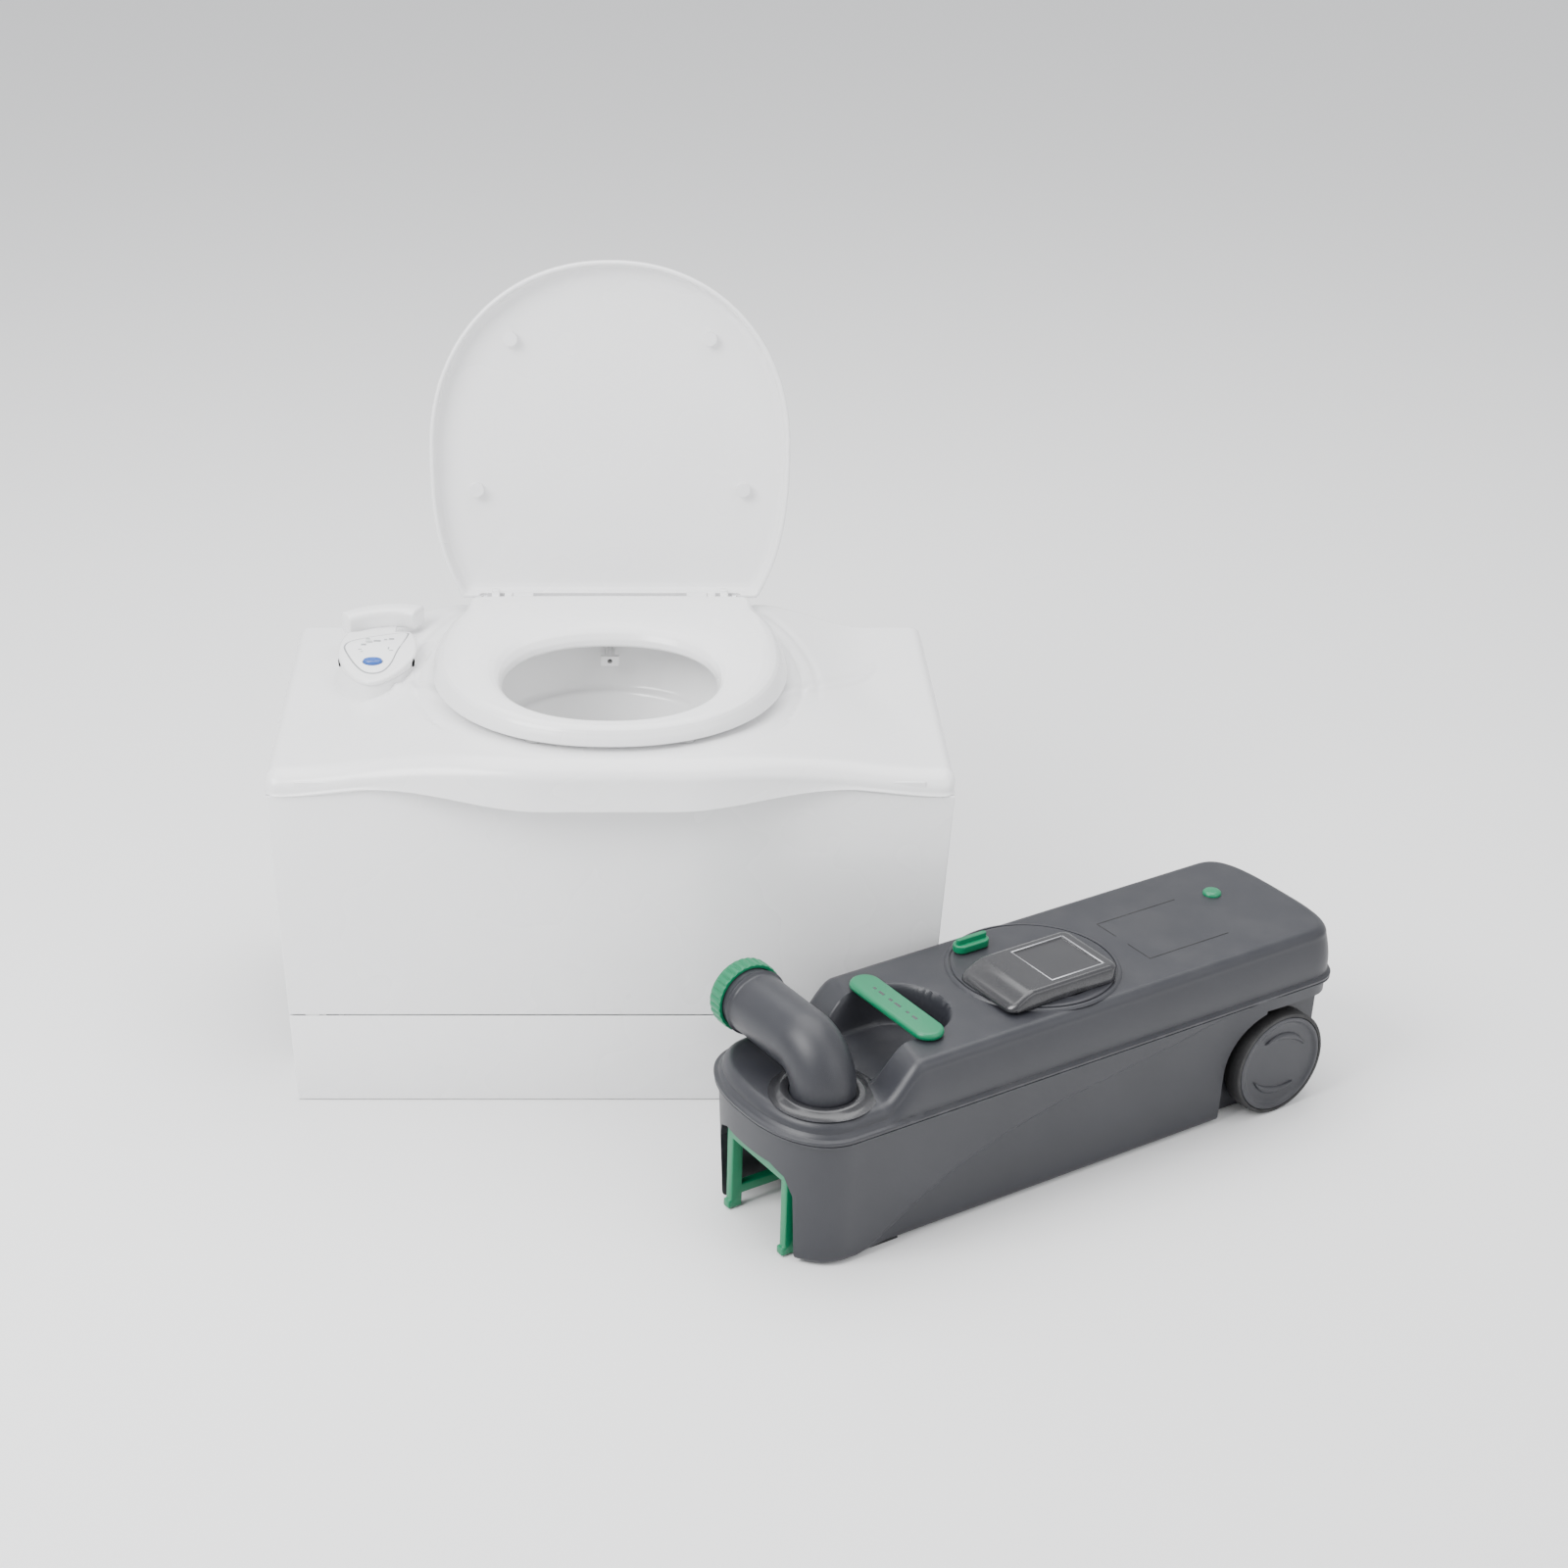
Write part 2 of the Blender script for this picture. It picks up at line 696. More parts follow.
# ------------------------------------------------------------------ the bench
@dataclass
class TopMoulding:
    """The bench's one-piece top: a low deck with a platform that bulges forward."""

    half_depth: float = 180.0
    hole: float = 129.0
    hole_y: float = -20.0
    corner: float = 12.0
    side_roll: float = 11.0
    front_roll: float = 23.0
    deck: float = 350.0
    rise: float = 25.0
    roll_drop: float = 16.0
    skirt_low: float = 330.0
    skirt_share: float = 0.80
    ring_half: float = 187.0
    thickness: float = 3.6
    high: Vector = field(default_factory=lambda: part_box("top_moulding")[1] / MM)

    def bulge(self, x: float) -> float:
        """Return how far the front comes forward at x."""
        return 29.4 * (1 - smooth(abs(x), 64.0, 236.0)) + 3.0 * (1 - smooth(abs(x), 200.0, 318.0))

    def rim(self, share: float) -> tuple:
        """Return a point of the rounded rectangle and its outward direction.

        Args:
            share: how far round the rim, in turns.

        Returns:
            x, y and the outward direction.
        """
        half_x = self.high.x - self.corner
        half_y = self.half_depth - self.corner
        arc = math.pi / 2 * self.corner
        legs = (2 * half_y, arc, 2 * half_x, arc) * 2
        walk = (share % 1.0) * sum(legs)
        corners = ((half_x, half_y), (-half_x, half_y), (-half_x, -half_y), (half_x, -half_y))
        for index, length in enumerate(legs):
            if walk <= length or index == 7:
                break
            walk -= length
        side = index // 2
        on_arc = index % 2 == 1
        angle = side * math.pi / 2 + (walk / self.corner if on_arc else 0.0)
        outward = (math.cos(angle), math.sin(angle))
        before = 0.0 if on_arc else legs[index] - walk
        return (corners[side][0] + outward[0] * self.corner + outward[1] * before,
                corners[side][1] + outward[1] * self.corner - outward[0] * before, outward)

    def warp(self, x: float, y: float) -> float:
        """Return y with the front bulge added."""
        return y - self.bulge(x) * max(0.0, (-y - 40.0) / 140.0) ** 1.4

    def height(self, x: float, y: float) -> float:
        """Return the deck's height in millimetres.

        Args:
            x: across, in millimetres.
            y: depth, in millimetres.

        Returns:
            the height, in millimetres.
        """
        front = smooth(-y, -40.0, 150.0)
        platform = 1 - smooth(abs(x), 150.0 - 60.0 * front, 262.0 + 50.0 * front)
        level = self.deck + self.rise * platform
        foot = 262.0 - 126.0 * smooth(-y, -70.0, 104.0)
        fade = smooth(y, -110.0, -60.0) * (1 - smooth(y, 30.0, 90.0))
        gap = abs(x) - foot
        level += 3.0 * smooth(gap, -30.0, 0.0) * (1 - smooth(gap, 0.0, 4.5)) * fade
        ring = math.hypot(x / self.ring_half, (y - 2.0) / 215.0)
        gap = (ring - 1.0) * self.ring_half
        level -= 2.4 * math.exp(-(gap / 3.2) ** 2) * smooth(y, -150.0, -90.0)
        outer = (ring - 1.085) * self.ring_half
        level -= 1.6 * math.exp(-(outer / 3.0) ** 2) * smooth(y, -60.0, 0.0)
        return level

    def place(self, turn: float, share: float) -> Vector:
        """Return the surface point for a turn round the rim and a share outward.

        Args:
            turn: the share of a whole turn round the outline, from 0 to 1.
            share: how far along the section, from 0 to 1.

        Returns:
            the point, in metres.
        """
        x_rim, y_rim, outward = self.rim(turn)
        forward = max(0.0, -outward[1])
        roll_start = self.skirt_share - 0.16
        reach = self.high.x - self.side_roll
        x_in = max(-reach, min(reach, x_rim))
        y_in = max(self.front_roll - self.half_depth, min(self.half_depth - self.side_roll, y_rim))
        if share < roll_start:
            k = share / roll_start
            angle = math.atan2(y_in - self.hole_y, x_in)
            x = mix(self.hole * math.cos(angle), x_in, k)
            y = self.warp(x, mix(self.hole_y + self.hole * math.sin(angle), y_in, k))
            lip = 2.0 * (1 - smooth(math.hypot(x, y - self.hole_y), self.hole, self.hole + 5.0))
            return Vector((x, y, self.height(x, y) - lip)) * MM
        edge = self.warp(x_in, y_in)
        top = self.height(x_in, edge)
        low_edge = self.skirt_low
        if forward > 0.5:
            low_edge += 9.0 * smooth(abs(x_rim), 60.0, 200.0) * (1 - smooth(abs(x_rim), 215.0, 310.0))
        drop = min(mix(self.side_roll, self.front_roll, forward), self.roll_drop)
        if share < self.skirt_share:
            angle = (share - roll_start) / (self.skirt_share - roll_start) * math.pi / 2
            out = math.sin(angle)
            x, y = mix(x_in, x_rim, out), mix(y_in, y_rim, out)
            return Vector((x, self.warp(x, y), top - (1 - math.cos(angle)) * drop)) * MM
        k = (share - self.skirt_share) / (1 - self.skirt_share)
        tuck = (0.4 - 2.4 * forward) * k * k
        x, y = x_rim - outward[0] * tuck, y_rim - outward[1] * tuck
        return Vector((x, self.warp(x, y), mix(top - drop, low_edge, k))) * MM

    def build(self) -> None:
        """Make the top as a thin shell."""
        mesh = surface(420, 110, self.place)
        piece = settle("top_cover", mesh, "bench", Finish.WHITE_GLOSS, ["top_moulding"], 40.0)
        face_up(piece)
        shell = piece.modifiers.new("wall", "SOLIDIFY")
        shell.thickness = self.thickness * MM
        shell.offset = -1.0
        shell.use_rim = True


@dataclass
class Panels:
    """The flat front and plinth panels of the bench's casing."""

    depth: float = 180.0
    wall: float = 3.0
    head: float = 344.0
    top: float = 330.0
    foot_half: float = 303.5
    gain: float = 16.0
    joint: float = 95.5
    plinth: float = 94.0
    head_half: float = 292.0
    edge: float = 1.3

    def half(self, height: float) -> float:
        """Return the casing's half width at a height."""
        return self.foot_half + self.gain * height / self.top

    def plate(self, points: Sequence[tuple]) -> bmesh.types.BMesh:
        """Extrude (x, z) points through the panel's thickness.

        Args:
            points: the outline's points, in millimetres.

        Returns:
            the bmesh, in metres.
        """
        mesh = prism(((x, -self.depth, z) for x, z in points), (0.0, self.wall, 0.0))
        soften(mesh, self.edge, 3, 50.0)
        return mesh

    def build(self) -> None:
        """Make both panels; the front one runs up behind the wavy skirt."""
        right = [(self.half(self.joint), self.joint), (self.half(self.top) - 0.3, self.top - 1.0),
                 (self.head_half, self.top), (self.head_half, self.head)]
        outline = right + [(-x, z) for x, z in reversed(right)]
        settle("front_look", self.plate(outline), "bench", Finish.WHITE_GLOSS, ["front_panel"], 40.0)
        low = [(self.half(0.0), 0.3), (self.half(self.plinth), self.plinth)]
        outline = low + [(-x, z) for x, z in reversed(low)]
        settle("plinth_look", self.plate(outline), "bench", Finish.WHITE_GLOSS, ["plinth_panel"],
               40.0)


@dataclass
class Seat:
    """The seat ring with a deep rounding towards its opening."""

    half: float = 172.0
    ahead: float = 182.6
    behind: float = 191.2
    middle: float = 0.6
    open_y: float = -50.5
    open_half: float = 103.0
    open_reach: float = 99.5
    rear: float = 136.0

    def outer(self, turn: float) -> tuple:
        """Return the outer outline's point."""
        x, y = egg_point(turn, self.half, self.ahead, self.behind, 2.15, 2.5)
        return x, min(self.middle + y, self.rear)

    def inner(self, turn: float) -> tuple:
        """Return the opening's point."""
        x, y = egg_point(turn, self.open_half, self.open_reach, self.open_reach, 2.2, 2.2)
        return x, self.open_y + y

    def section(self, share: float) -> tuple:
        """Return (share from opening to rim, height) round the closed section.

        Args:
            share: how far along the section, from 0 to 1.

        Returns:
            the share across and the height.
        """
        knots = ((0.0, 0.010, 380.8), (0.04, 0.0, 382.5), (0.10, 0.012, 388.0), (0.16, 0.05, 393.4),
                 (0.22, 0.11, 397.6), (0.28, 0.20, 400.6), (0.34, 0.31, 402.2), (0.42, 0.46, 403.0),
                 (0.50, 0.64, 402.8), (0.56, 0.76, 401.8), (0.62, 0.835, 400.2), (0.68, 0.885, 397.4),
                 (0.73, 0.92, 393.6), (0.78, 0.955, 389.0), (0.83, 0.985, 384.6), (0.86, 1.0, 382.4),
                 (0.88, 0.995, 380.8), (0.90, 0.97, 380.1), (0.94, 0.5, 380.6), (0.98, 0.08, 380.2),
                 (1.0, 0.010, 380.8))
        return along_knots(knots, share)

    def place(self, turn: float, share: float) -> Vector:
        """Return the ring's surface point.

        Args:
            turn: the share of a whole turn round the outline, from 0 to 1.
            share: how far along the section, from 0 to 1.

        Returns:
            the point, in metres.
        """
        angle = turn * 2 * math.pi
        across, height = self.section(share)
        x_in, y_in = self.inner(angle)
        x_out, y_out = self.outer(angle)
        across += 0.72 * smooth(y_out, 112.0, 134.0) * smooth(across, 0.46, 0.8) * (1 - across)
        x, y = mix(x_in, x_out, across), mix(y_in, y_out, across)
        height -= 5.5 * smooth(-y, 40.0, 180.0) * smooth(height, 384.0, 400.0)
        return Vector((x, y, height)) * MM

    def build(self) -> None:
        """Make the ring with its two hinge lugs."""
        mesh = surface(240, 76, self.place)
        join(mesh, *hinge_lugs(99.0, 107.0, self.rear - 6.0, 383.0, 396.0, 8.0))
        settle("seat_ring", mesh, "seat_part", Finish.WHITE_GLOSS, ["seat"], 50.0)


def hinge_lugs(near: float, far: float, start: float, low: float, high: float, radius: float,
               axis_y: float = 150.0, axis_z: float = 389.0) -> list:
    """Return a mirrored pair of arms, each with an eye round the hinge pin.

    Args:
        near: the arms' inner face from the middle.
        far: the arms' outer face from the middle.
        start: where the arms begin in depth.
        low: the arms' underside.
        high: the arms' top.
        radius: the eye's radius.
        axis_y: the hinge's depth.
        axis_z: the hinge's height.

    Returns:
        the bmeshes of both arms and both eyes.
    """
    parts = []
    for side in (-1.0, 1.0):
        first, second = sorted((side * near, side * far))
        parts.append(block((first, start, low), (second, axis_y, high), 1.2, 2))
        eye = bmesh.new()
        bmesh.ops.create_cone(eye, cap_ends=True, segments=48, radius1=radius * MM, radius2=radius * MM,
                              depth=(second - first) * MM)
        soften(eye, 1.0, 2)
        turn = Matrix.Translation(Vector(((first + second) / 2, axis_y, axis_z)) * MM) @ Matrix.Rotation(
            math.pi / 2, 4, "Y")
        bmesh.ops.transform(eye, matrix=turn, verts=eye.verts)
        parts.append(eye)
    return parts


@dataclass
class Lid:
    """The lid, an open-bottomed dish hinged behind the seat; modelled flat and then leant back."""

    half: float = 182.0
    middle: float = 153.4
    ahead: float = 187.4
    behind: float = 222.0
    start: float = 0.6
    flat: float = 60.0
    pin_clear: float = 10.8
    lean: float = -102.0
    axis: tuple = (150.0, 389.0)

    def edge(self, turn: float, inset: float) -> tuple:
        """Return the outline (x, s); s runs from the hinge forward."""
        x, y = egg_point(turn, self.half - inset, self.ahead - inset, self.behind - inset, 2.12, 2.55)
        return x, max(self.middle - y, self.start + inset)

    def place(self, turn: float, share: float) -> Vector:
        """Return the shell's point: crown, rim, then the inside back to the middle.

        Args:
            turn: the share of a whole turn round the outline, from 0 to 1.
            share: how far along the section, from 0 to 1.

        Returns:
            the point, in metres.
        """
        angle = turn * 2 * math.pi
        knots = ((0.0, 182.0, 33.0), (0.20, 60.0, 32.6), (0.30, 22.0, 31.4), (0.36, 8.0, 28.6), (0.40, 2.6, 24.5),
                 (0.44, 0.4, 18.0), (0.48, 0.0, 10.0), (0.51, 0.6, 6.0), (0.53, 2.0, 5.0), (0.545, 3.6, 5.2),
                 (0.56, 4.6, 6.6), (0.59, 5.6, 12.0), (0.62, 6.6, 17.0), (0.65, 8.8, 20.2), (0.69, 13.0, 21.8),
                 (0.75, 24.0, 22.8), (0.85, 70.0, 25.8), (1.0, 182.0, 28.2))
        inset, height = along_knots(knots, share)
        x, s = self.edge(angle, min(inset, self.flat))
        part = max(0.0, inset - self.flat) / (self.half - self.flat)
        x, s = mix(x, 0.0, part), mix(s, self.middle, part)
        if math.hypot(s, height) < self.pin_clear and abs(x) < 131.0:
            height = math.sqrt(self.pin_clear ** 2 - s * s)
        return Vector((x, self.axis[0] - s, self.axis[1] + height)) * MM

    def build(self) -> None:
        """Make the lid shell and its lugs in the open pose."""
        mesh = surface(240, 130, self.place)
        join(mesh, *hinge_lugs(112.0, 120.0, self.axis[0] - 10.0, 391.0, 401.0, 8.0))
        pivot = Vector((0.0, *self.axis)) * MM
        turn = Matrix.Translation(pivot) @ Matrix.Rotation(math.radians(self.lean), 4, "X") @ Matrix.Translation(
            -pivot)
        settle("lid_shell", mesh, "lid_part", Finish.WHITE_GLOSS, ["lid"], 50.0, turn)


@dataclass
class Bowl:
    """The bowl, with a ledge round its wall above the sloping floor."""

    centre: tuple = (0.0, -20.0)
    profile: tuple = ((133.0, 375.4), (133.0, 377.4), (132.4, 378.0), (130.0, 378.0), (128.2, 377.4), (127.2, 375.0),
                      (125.6, 362.0), (123.0, 345.0), (120.4, 330.0), (118.6, 320.0), (117.2, 316.4), (114.0, 314.6),
                      (111.2, 313.4), (109.8, 310.4), (107.0, 300.0), (101.0, 282.0), (93.0, 264.0), (81.0, 246.0),
                      (66.0, 232.0), (52.0, 222.8), (43.5, 218.4), (40.6, 216.4), (40.0, 214.4), (43.0, 214.0),
                      (45.0, 216.0), (54.0, 220.4), (68.0, 229.4), (83.5, 243.6), (95.6, 262.0), (103.8, 281.0),
                      (109.8, 299.4), (113.0, 311.6), (120.2, 315.0), (123.0, 330.0), (127.6, 360.0), (128.6, 374.8),
                      (133.0, 375.4))

    def build(self) -> None:
        """Spin the bowl."""
        mesh = spun(self.profile, 128)
        shift = Matrix.Translation((self.centre[0] * MM, self.centre[1] * MM, 0.0))
        settle("bowl_look", mesh, "bench", Finish.WHITE_BOWL, ["bowl"], 50.0, shift)


@dataclass
class Console:
    """The teardrop console with its bow lever, label and oval button."""

    centre: tuple = (-229.0, 39.0)
    half: float = 42.0
    reach: float = 62.0
    fill: float = 36.0
    hub: tuple = (-229.0, 45.0)
    label_y: float = 32.0
    button: tuple = (-232.0, 16.0)

    def drop(self, turn: float, inset: float = 0.0) -> tuple:
        """Return a point of the teardrop outline, narrow in front.

        Args:
            turn: the angle round the outline, in radians.
            inset: how far inside the outline, in millimetres.

        Returns:
            the point (x, y), in millimetres.
        """
        x, y = egg_point(turn, self.half - inset, self.reach - inset, self.reach - inset, 1.85, 2.3)
        narrow = 1.0 - 0.16 * smooth(-y, 0.0, self.reach)
        return self.centre[0] + x * narrow - 3.0 * smooth(-y, 0.0, self.reach), self.centre[1] + y

    def shell(self, levels: Sequence[tuple]) -> bmesh.types.BMesh:
        """Loft the outline through (inset, height) levels and close both ends.

        Args:
            levels: the (inset, height) rows from the bottom up.

        Returns:
            the bmesh, in metres.
        """
        def place(turn: float, share: float) -> Vector:
            """Return the loft's point.

            Args:
                turn: the share of a whole turn round the outline, from 0 to 1.
                share: how far along the section, from 0 to 1.

            Returns:
                the point, in metres.
            """
            inset, height = along_levels(levels, share)
            x, y = self.drop(turn * 2 * math.pi, min(inset, self.fill))
            part = max(0.0, inset - self.fill) / (self.half - self.fill)
            return Vector((mix(x, self.centre[0], part), mix(y, self.centre[1], part), height)) * MM

        return surface(120, (len(levels) - 1) * 2, place)

    def slope(self, y: float) -> float:
        """Return the height of the sloping roof at y."""
        return 373.5 + 12.0 * smooth(y, -34.0, 74.0)

    def build_base(self) -> None:
        """Make the flared skirt that stands on the deck, up to the sloping roof in front."""
        levels = ((42.0, 348.6), (30.0, 348.4), (1.0, 348.4), (-1.6, 349.0), (-1.4, 350.6), (0.6, 352.4),
                  (2.6, 356.0), (4.0, 361.0), (4.8, 366.0), (5.3, 368.6), (6.2, 369.8), (8.0, 370.0),
                  (30.0, 370.0), (42.0, 370.0))
        settle("console_base_look", self.shell(levels), "bench", Finish.WHITE_GLOSS,
               ["console_base"], 40.0)

    def build_roof(self) -> None:
        """Make the roof: a sloping cap over the lever's hub, with its foot in front."""
        levels = ((42.0, -5.0), (30.0, -5.0), (4.6, -4.9), (3.6, -4.2), (3.4, -3.0), (4.0, -1.4), (5.8, -0.3),
                  (9.0, 0.0), (30.0, 0.0), (42.0, 0.0))
        roof = self.shell(levels)
        for vertex in roof.verts:
            vertex.co.y = min(vertex.co.y, 76.0 * MM)
            vertex.co.z += self.slope(vertex.co.y / MM) * MM
        low = ((42.0, 370.0), (30.0, 370.0), (6.2, 370.0), (5.0, 370.4), (4.4, 376.0), (5.0, 381.0), (30.0, 381.6),
               (42.0, 381.6))
        foot = self.shell(low)
        for vertex in foot.verts:
            vertex.co.y = min(vertex.co.y, 25.0 * MM)
            vertex.co.z = min(vertex.co.z, (self.slope(vertex.co.y / MM) - 2.0) * MM)
        for mesh in (roof, foot):
            bmesh.ops.remove_doubles(mesh, verts=mesh.verts, dist=2e-6)
            bmesh.ops.recalc_face_normals(mesh, faces=mesh.faces)
        piece = settle("console_roof", join(roof, foot), "bench", Finish.WHITE_GLOSS,
                       ["console_cap"], 40.0)
        cut_away(piece, self.button_well())

    def button_well(self) -> bmesh.types.BMesh:
        """Make the oval cutter for the well that the button sits in.

        Returns:
            the bmesh, in metres.
        """
        x, y = self.button
        rest = self.slope(y)
        well = cylinder_between((0.0, 0.0, rest - 3.4), (0.0, 0.0, rest + 8.0), 1.0)
        shape = Matrix.Translation((x * MM, y * MM, 0.0)) @ Matrix.Diagonal((10.1, 7.1, 1.0, 1.0))
        bmesh.ops.transform(well, matrix=shape, verts=well.verts)
        return well

    def lay_on_roof(self, mesh: bmesh.types.BMesh) -> bmesh.types.BMesh:
        """Lower a piece modelled at height 0 onto the sloping roof.

        Args:
            mesh: the bmesh to change.

        Returns:
            the same bmesh.
        """
        for vertex in mesh.verts:
            vertex.co.z += self.slope(vertex.co.y / MM) * MM
        return mesh

    def build_label(self) -> None:
        """Make the label: a shield-shaped plate with a grey outline and generic marks."""
        outline = ((-33.0, 14.0), (-31.0, 2.0), (-20.0, -22.0), (-8.0, -36.0), (6.0, -35.0), (15.0, -20.0),
                   (21.0, 6.0), (29.0, 34.0), (26.0, 41.0), (2.0, 35.0), (-25.0, 24.0))
        base = [(self.centre[0] + x, self.label_y + y) for x, y in smooth_loop(outline, 5)]
        middle = (sum(x for x, _ in base) / len(base), sum(y for _, y in base) / len(base))
        inside = [(mix(x, middle[0], 0.055), mix(y, middle[1], 0.045)) for x, y in base]
        rim = self.lay_on_roof(outline_block(base, -0.4, 0.35, 0.15, 2))
        cut_away(settle("label_outline", rim, "bench", Finish.LINE_GREY, ["control_panel"], 40.0),
                 self.button_well())
        plate = self.lay_on_roof(outline_block(inside, -0.2, 0.65, 0.25, 2))
        cut_away(settle("label_plate", plate, "bench", Finish.PANEL, (), 40.0), self.button_well())
        marks = bmesh.new()
        for x, y, width, depth in ((-14.0, 15.0, 5.0, 3.0), (-7.0, 20.0, 3.0, 1.4), (-1.0, 22.5, 7.0, 2.6),
                                   (7.0, 25.0, 3.0, 1.4), (13.0, 26.5, 5.0, 2.4), (11.0, 8.0, 1.4, 4.0),
                                   (14.0, 4.0, 4.0, 1.2), (-17.0, 6.0, 3.6, 1.2), (-15.0, 2.0, 2.4, 1.0)):
            cx, cy = self.centre[0] + x, self.label_y + y
            join(marks, block((cx - width / 2, cy - depth / 2, 0.45), (cx + width / 2, cy + depth / 2, 0.8), 0.1, 1))
        settle("label_marks", self.lay_on_roof(marks), "bench", Finish.LINE_GREY, (), 40.0)

    def build_button(self) -> None:
        """Make the oval button with its sunk face."""
        rest = self.slope(self.button[1])
        levels = ((0.0, -1.0), (1.0, -1.0), (1.0, 2.0), (0.93, 2.9), (0.7, 2.6), (0.4, 2.2), (0.0, 2.0))

        def place(turn: float, share: float) -> Vector:
            """Return the button's point.

            Args:
                turn: the share of a whole turn round the outline, from 0 to 1.
                share: how far along the section, from 0 to 1.

            Returns:
                the point, in metres.
            """
            size, height = along_levels(levels, share)
            angle = turn * 2 * math.pi
            return Vector((self.button[0] + 9.5 * size * math.cos(angle),
                           self.button[1] + 6.5 * size * math.sin(angle), rest + height)) * MM

        settle("button_look", surface(64, 36, place), "button_part", Finish.BLUE, ["flush_button"],
               40.0)

    def build_lever(self) -> None:
        """Make the bow-shaped lever on its arm."""
        hub_x, hub_y = self.hub
        half_arc = math.asin(43.5 / 84.0)

        def place(turn: float, share: float) -> Vector:
            """Return the bow's point: a rounded section swept along the arc.

            Args:
                turn: the share of a whole turn round the outline, from 0 to 1.
                share: how far along the section, from 0 to 1.

            Returns:
                the point, in metres.
            """
            angle = math.pi / 2 + half_arc * (1 - 2 * share)
            end = 1.0 - max(0.0, abs(2 * share - 1) - 0.93) / 0.07
            end = math.sqrt(max(0.0, 1 - (1 - end) ** 2))
            section = turn * 2 * math.pi
            radius = 73.0 + 10.8 * end * power(math.cos(section), 0.55)
            height = 382.4 + 11.2 * end * power(math.sin(section), 0.55)
            if math.cos(section) < 0 and math.sin(section) < 0:
                height += 2.0 * end
            x, y = radius * math.cos(angle), radius * math.sin(angle)
            return Vector((hub_x + x, hub_y + y + 0.22 * x + 3.0, height + 1.0 * (y - 66.0) / 12.0)) * MM

        bow = surface(48, 90, place)
        arm = block((hub_x - 14.0, hub_y, 371.2), (hub_x + 14.0, hub_y + 70.0, 375.6), 1.2, 3)
        hub = spun(((0.0, 371.0), (17.0, 371.0), (18.0, 372.0), (18.0, 374.6), (17.0, 375.4), (0.0, 375.4)), 72)
        bmesh.ops.translate(hub, vec=(hub_x * MM, hub_y * MM, 0.0), verts=hub.verts)
        settle("bow_lever", join(bow, arm, hub), "lever_part", Finish.WHITE_GLOSS, ["blade_lever"],
               45.0)

    def build(self) -> None:
        """Make the console's pieces."""
        self.build_base()
        self.build_roof()
        self.build_label()
        self.build_button()
        self.build_lever()


def smooth_loop(points: Sequence[tuple], cuts: int) -> list:
    """Return a closed Catmull-Rom curve through the points.

    Args:
        points: the points to pass through.
        cuts: new points for each given one.

    Returns:
        the curve's (x, y) points.
    """
    count = len(points)
    curve = []
    for index in range(count):
        before, start, stop, after = (Vector(points[(index + shift) % count]) for shift in (-1, 0, 1, 2))
        for step in range(cuts):
            t = step / cuts
            point = 0.5 * (2 * start + (stop - before) * t + (2 * before - 5 * start + 4 * stop - after) * t * t +
                           (3 * start - before - 3 * stop + after) * t ** 3)
            curve.append((point.x, point.y))
    return curve


# ------------------------------------------------------------------ the cassette
YAW = math.radians(31.0)
CASSETTE = Matrix.Translation((0.1174, -0.4094, 0.0)) @ Matrix.Rotation(YAW, 4, "Z")


